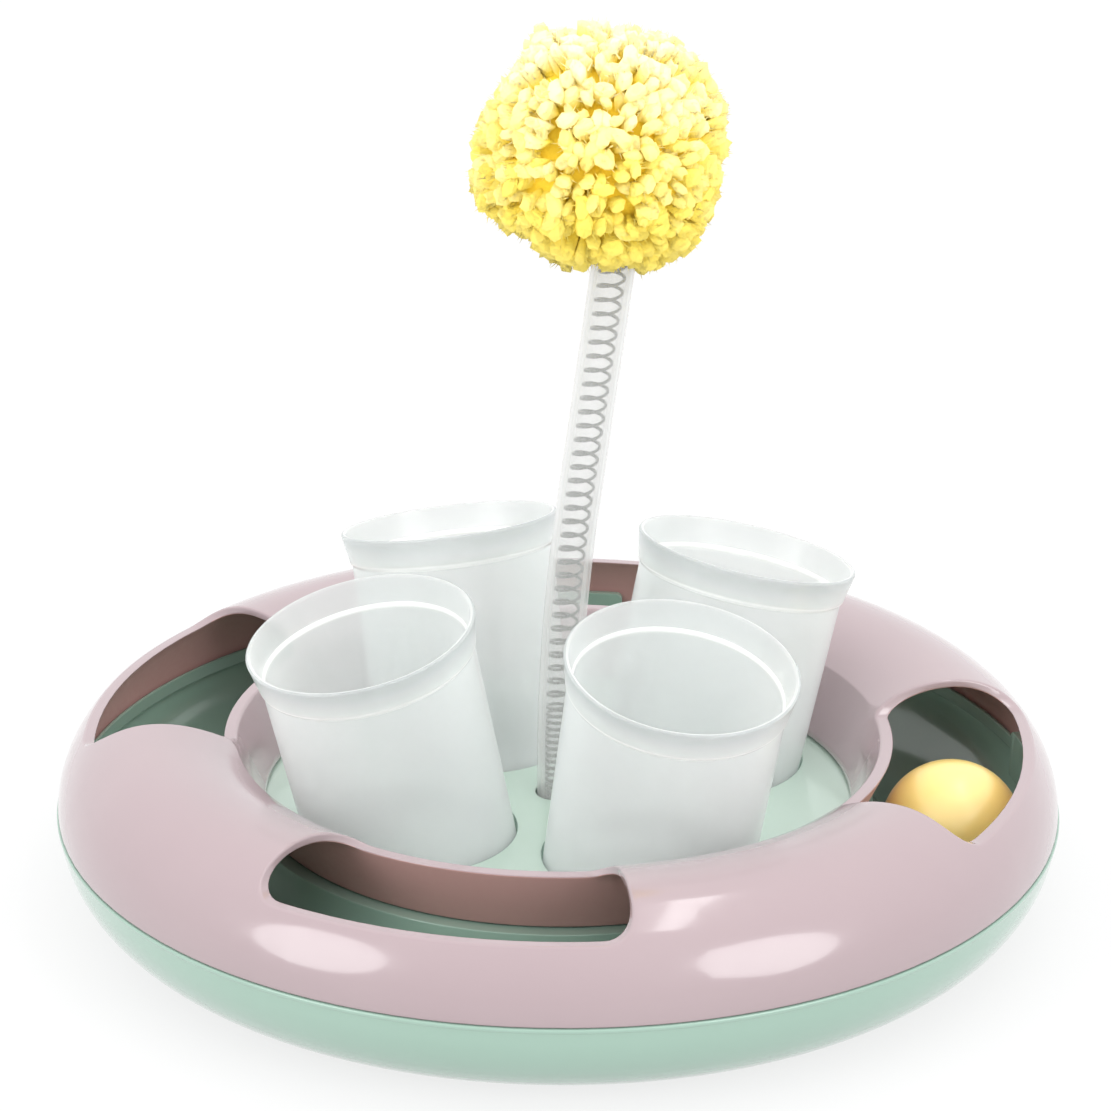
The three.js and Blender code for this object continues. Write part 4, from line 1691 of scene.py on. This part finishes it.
@dataclass
class Studio:
    """Pale floor, plain soft light and the photograph's camera, in metres and degrees."""

    floor_half: float = 4.0
    floor_grey: float = 0.65
    floor_roughness: float = 0.9
    floor_glow: float = 0.8
    aim: Triple = (0.0, 0.0, 0.06)
    eye: Triple = (0.1849, -0.7542, 0.3848)
    target: Triple = (-0.001, -0.00025, 0.0841)
    roll: float = 0.379
    lens: float = 114.36
    sensor: float = 36.0
    horizon: float = 0.6
    zenith: float = 2.1
    lamps: tuple[Softbox, ...] = (
        Softbox("softbox_left", -129.0, 20.0, 1.5, 0.8, 0.95, 6.5),
        Softbox("softbox_right", -29.0, 24.0, 1.5, 0.8, 0.95, 6.5),
        Softbox("strip_above", 20.0, 75.0, 1.4, 0.95, 0.12, 1.6, LampShape.STRIP),
    )

    def _place(self, name: str, data: bpy.types.ID) -> bpy.types.Object:
        """Puts a new object of the studio into the scene.

        Args:
            name: name of the object.
            data: its mesh, light or camera.

        Returns:
            The object.
        """
        made = bpy.data.objects.new(name, data)
        bpy.context.scene.collection.objects.link(made)
        return made

    def _seen(self, tree: bpy.types.NodeTree) -> bpy.types.NodeSocket:
        """Tells what the camera sees, also in gloss and through clear plastic, from plain light.

        Args:
            tree: tree of the floor's material or of the world.

        Returns:
            A socket that is 1 for what is seen and 0 for light.
        """
        seen = add_node(tree, "LightPath", {}, "Is Camera Ray")
        for ray in ("Is Glossy Ray", "Is Transmission Ray"):
            other = add_node(tree, "LightPath", {}, ray)
            seen = add_node(tree, "Math", {0: seen, 1: other}, operation="MAXIMUM")
        return seen

    def _floor(self) -> None:
        """Lays the floor: white to the camera, with the toy's shadow kept faint."""
        bm = bmesh.new()
        bmesh.ops.create_grid(bm, x_segments=1, y_segments=1, size=self.floor_half)
        mesh = bpy.data.meshes.new("studio_floor")
        bm.to_mesh(mesh)
        bm.free()
        floor = self._place("studio_floor", mesh)
        paper = bpy.data.materials.new("white_paper_sweep")
        paper.use_nodes = True
        tree = paper.node_tree
        shader = tree.nodes["Principled BSDF"]
        grey = (self.floor_grey, self.floor_grey, self.floor_grey, 1.0)
        set_sockets(shader, {"Base Color": grey, "Roughness": self.floor_roughness})
        sight = {0: self._seen(tree), 1: self.floor_glow}
        share = add_node(tree, "Math", sight, operation="MULTIPLY")
        glow = add_node(tree, "Emission", {"Color": WHITE, "Strength": 1.0})
        mixed = add_node(tree, "MixShader", {0: share, 1: shader.outputs[0], 2: glow})
        set_sockets(tree.nodes["Material Output"], {"Surface": mixed})
        mesh.materials.append(paper)

    def _sky(self) -> None:
        """Sets the even light of the white studio, seen as white."""
        world = bpy.data.worlds.new("white_studio")
        world.use_nodes = True
        bpy.context.scene.world = world
        tree = world.node_tree
        way = add_node(tree, "TexCoord", {}, "Generated")
        height = add_node(tree, "SeparateXYZ", {0: way}, "Z")
        dome = add_node(tree, "MapRange", {0: height, 3: self.horizon, 4: self.zenith})
        level = add_node(tree, "MapRange", {0: self._seen(tree), 3: dome, 4: 1.0})
        set_sockets(tree.nodes["Background"], {"Color": WHITE, "Strength": level})

    def _lamp(self, box: Softbox) -> None:
        """Hangs a softbox that faces the toy.

        Args:
            box: the softbox.
        """
        light = bpy.data.lights.new(box.name, "AREA")
        light.shape = box.shape.value
        light.size, light.size_y = box.width, box.height
        light.energy = box.watts
        lamp = self._place(box.name, light)
        way = direction(box.azimuth, box.elevation)
        lamp.location = Vector(self.aim) + way * box.distance
        lamp.rotation_mode = "QUATERNION"
        lamp.rotation_quaternion = (-way).to_track_quat("-Z", "Y")

    def _camera(self) -> None:
        """Sets the camera at the photograph's place."""
        data = bpy.data.cameras.new("photo_camera")
        data.lens, data.sensor_width = self.lens, self.sensor
        camera = self._place("photo_camera", data)
        way = (Vector(self.target) - Vector(self.eye)).normalized()
        right = way.cross(Vector((0, 0, 1))).normalized()
        level = Matrix((right, right.cross(way), -way)).transposed()
        turn = level @ Matrix.Rotation(math.radians(self.roll), 3, "Z")
        camera.matrix_world = Matrix.Translation(self.eye) @ turn.to_4x4()
        bpy.context.scene.camera = camera

    def set_up(self) -> None:
        """Builds the studio round the toy."""
        bpy.context.scene.view_settings.view_transform = "Standard"
        self._floor()
        self._sky()
        for box in self.lamps:
            self._lamp(box)
        self._camera()


def main() -> None:
    """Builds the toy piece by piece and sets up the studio."""
    logging.basicConfig(level=logging.INFO, format="%(name)s: %(message)s")
    ring = Ring()
    cups = Cups(ring)
    BaseTray(ring, cups).dress()
    TrackCover(ring).dress()
    cups.dress()
    TrackBall().dress()
    wand = Wand(ring)
    wand.dress()
    Pompom(wand).dress()
    Studio().set_up()


if __name__ == "__main__":
    main()
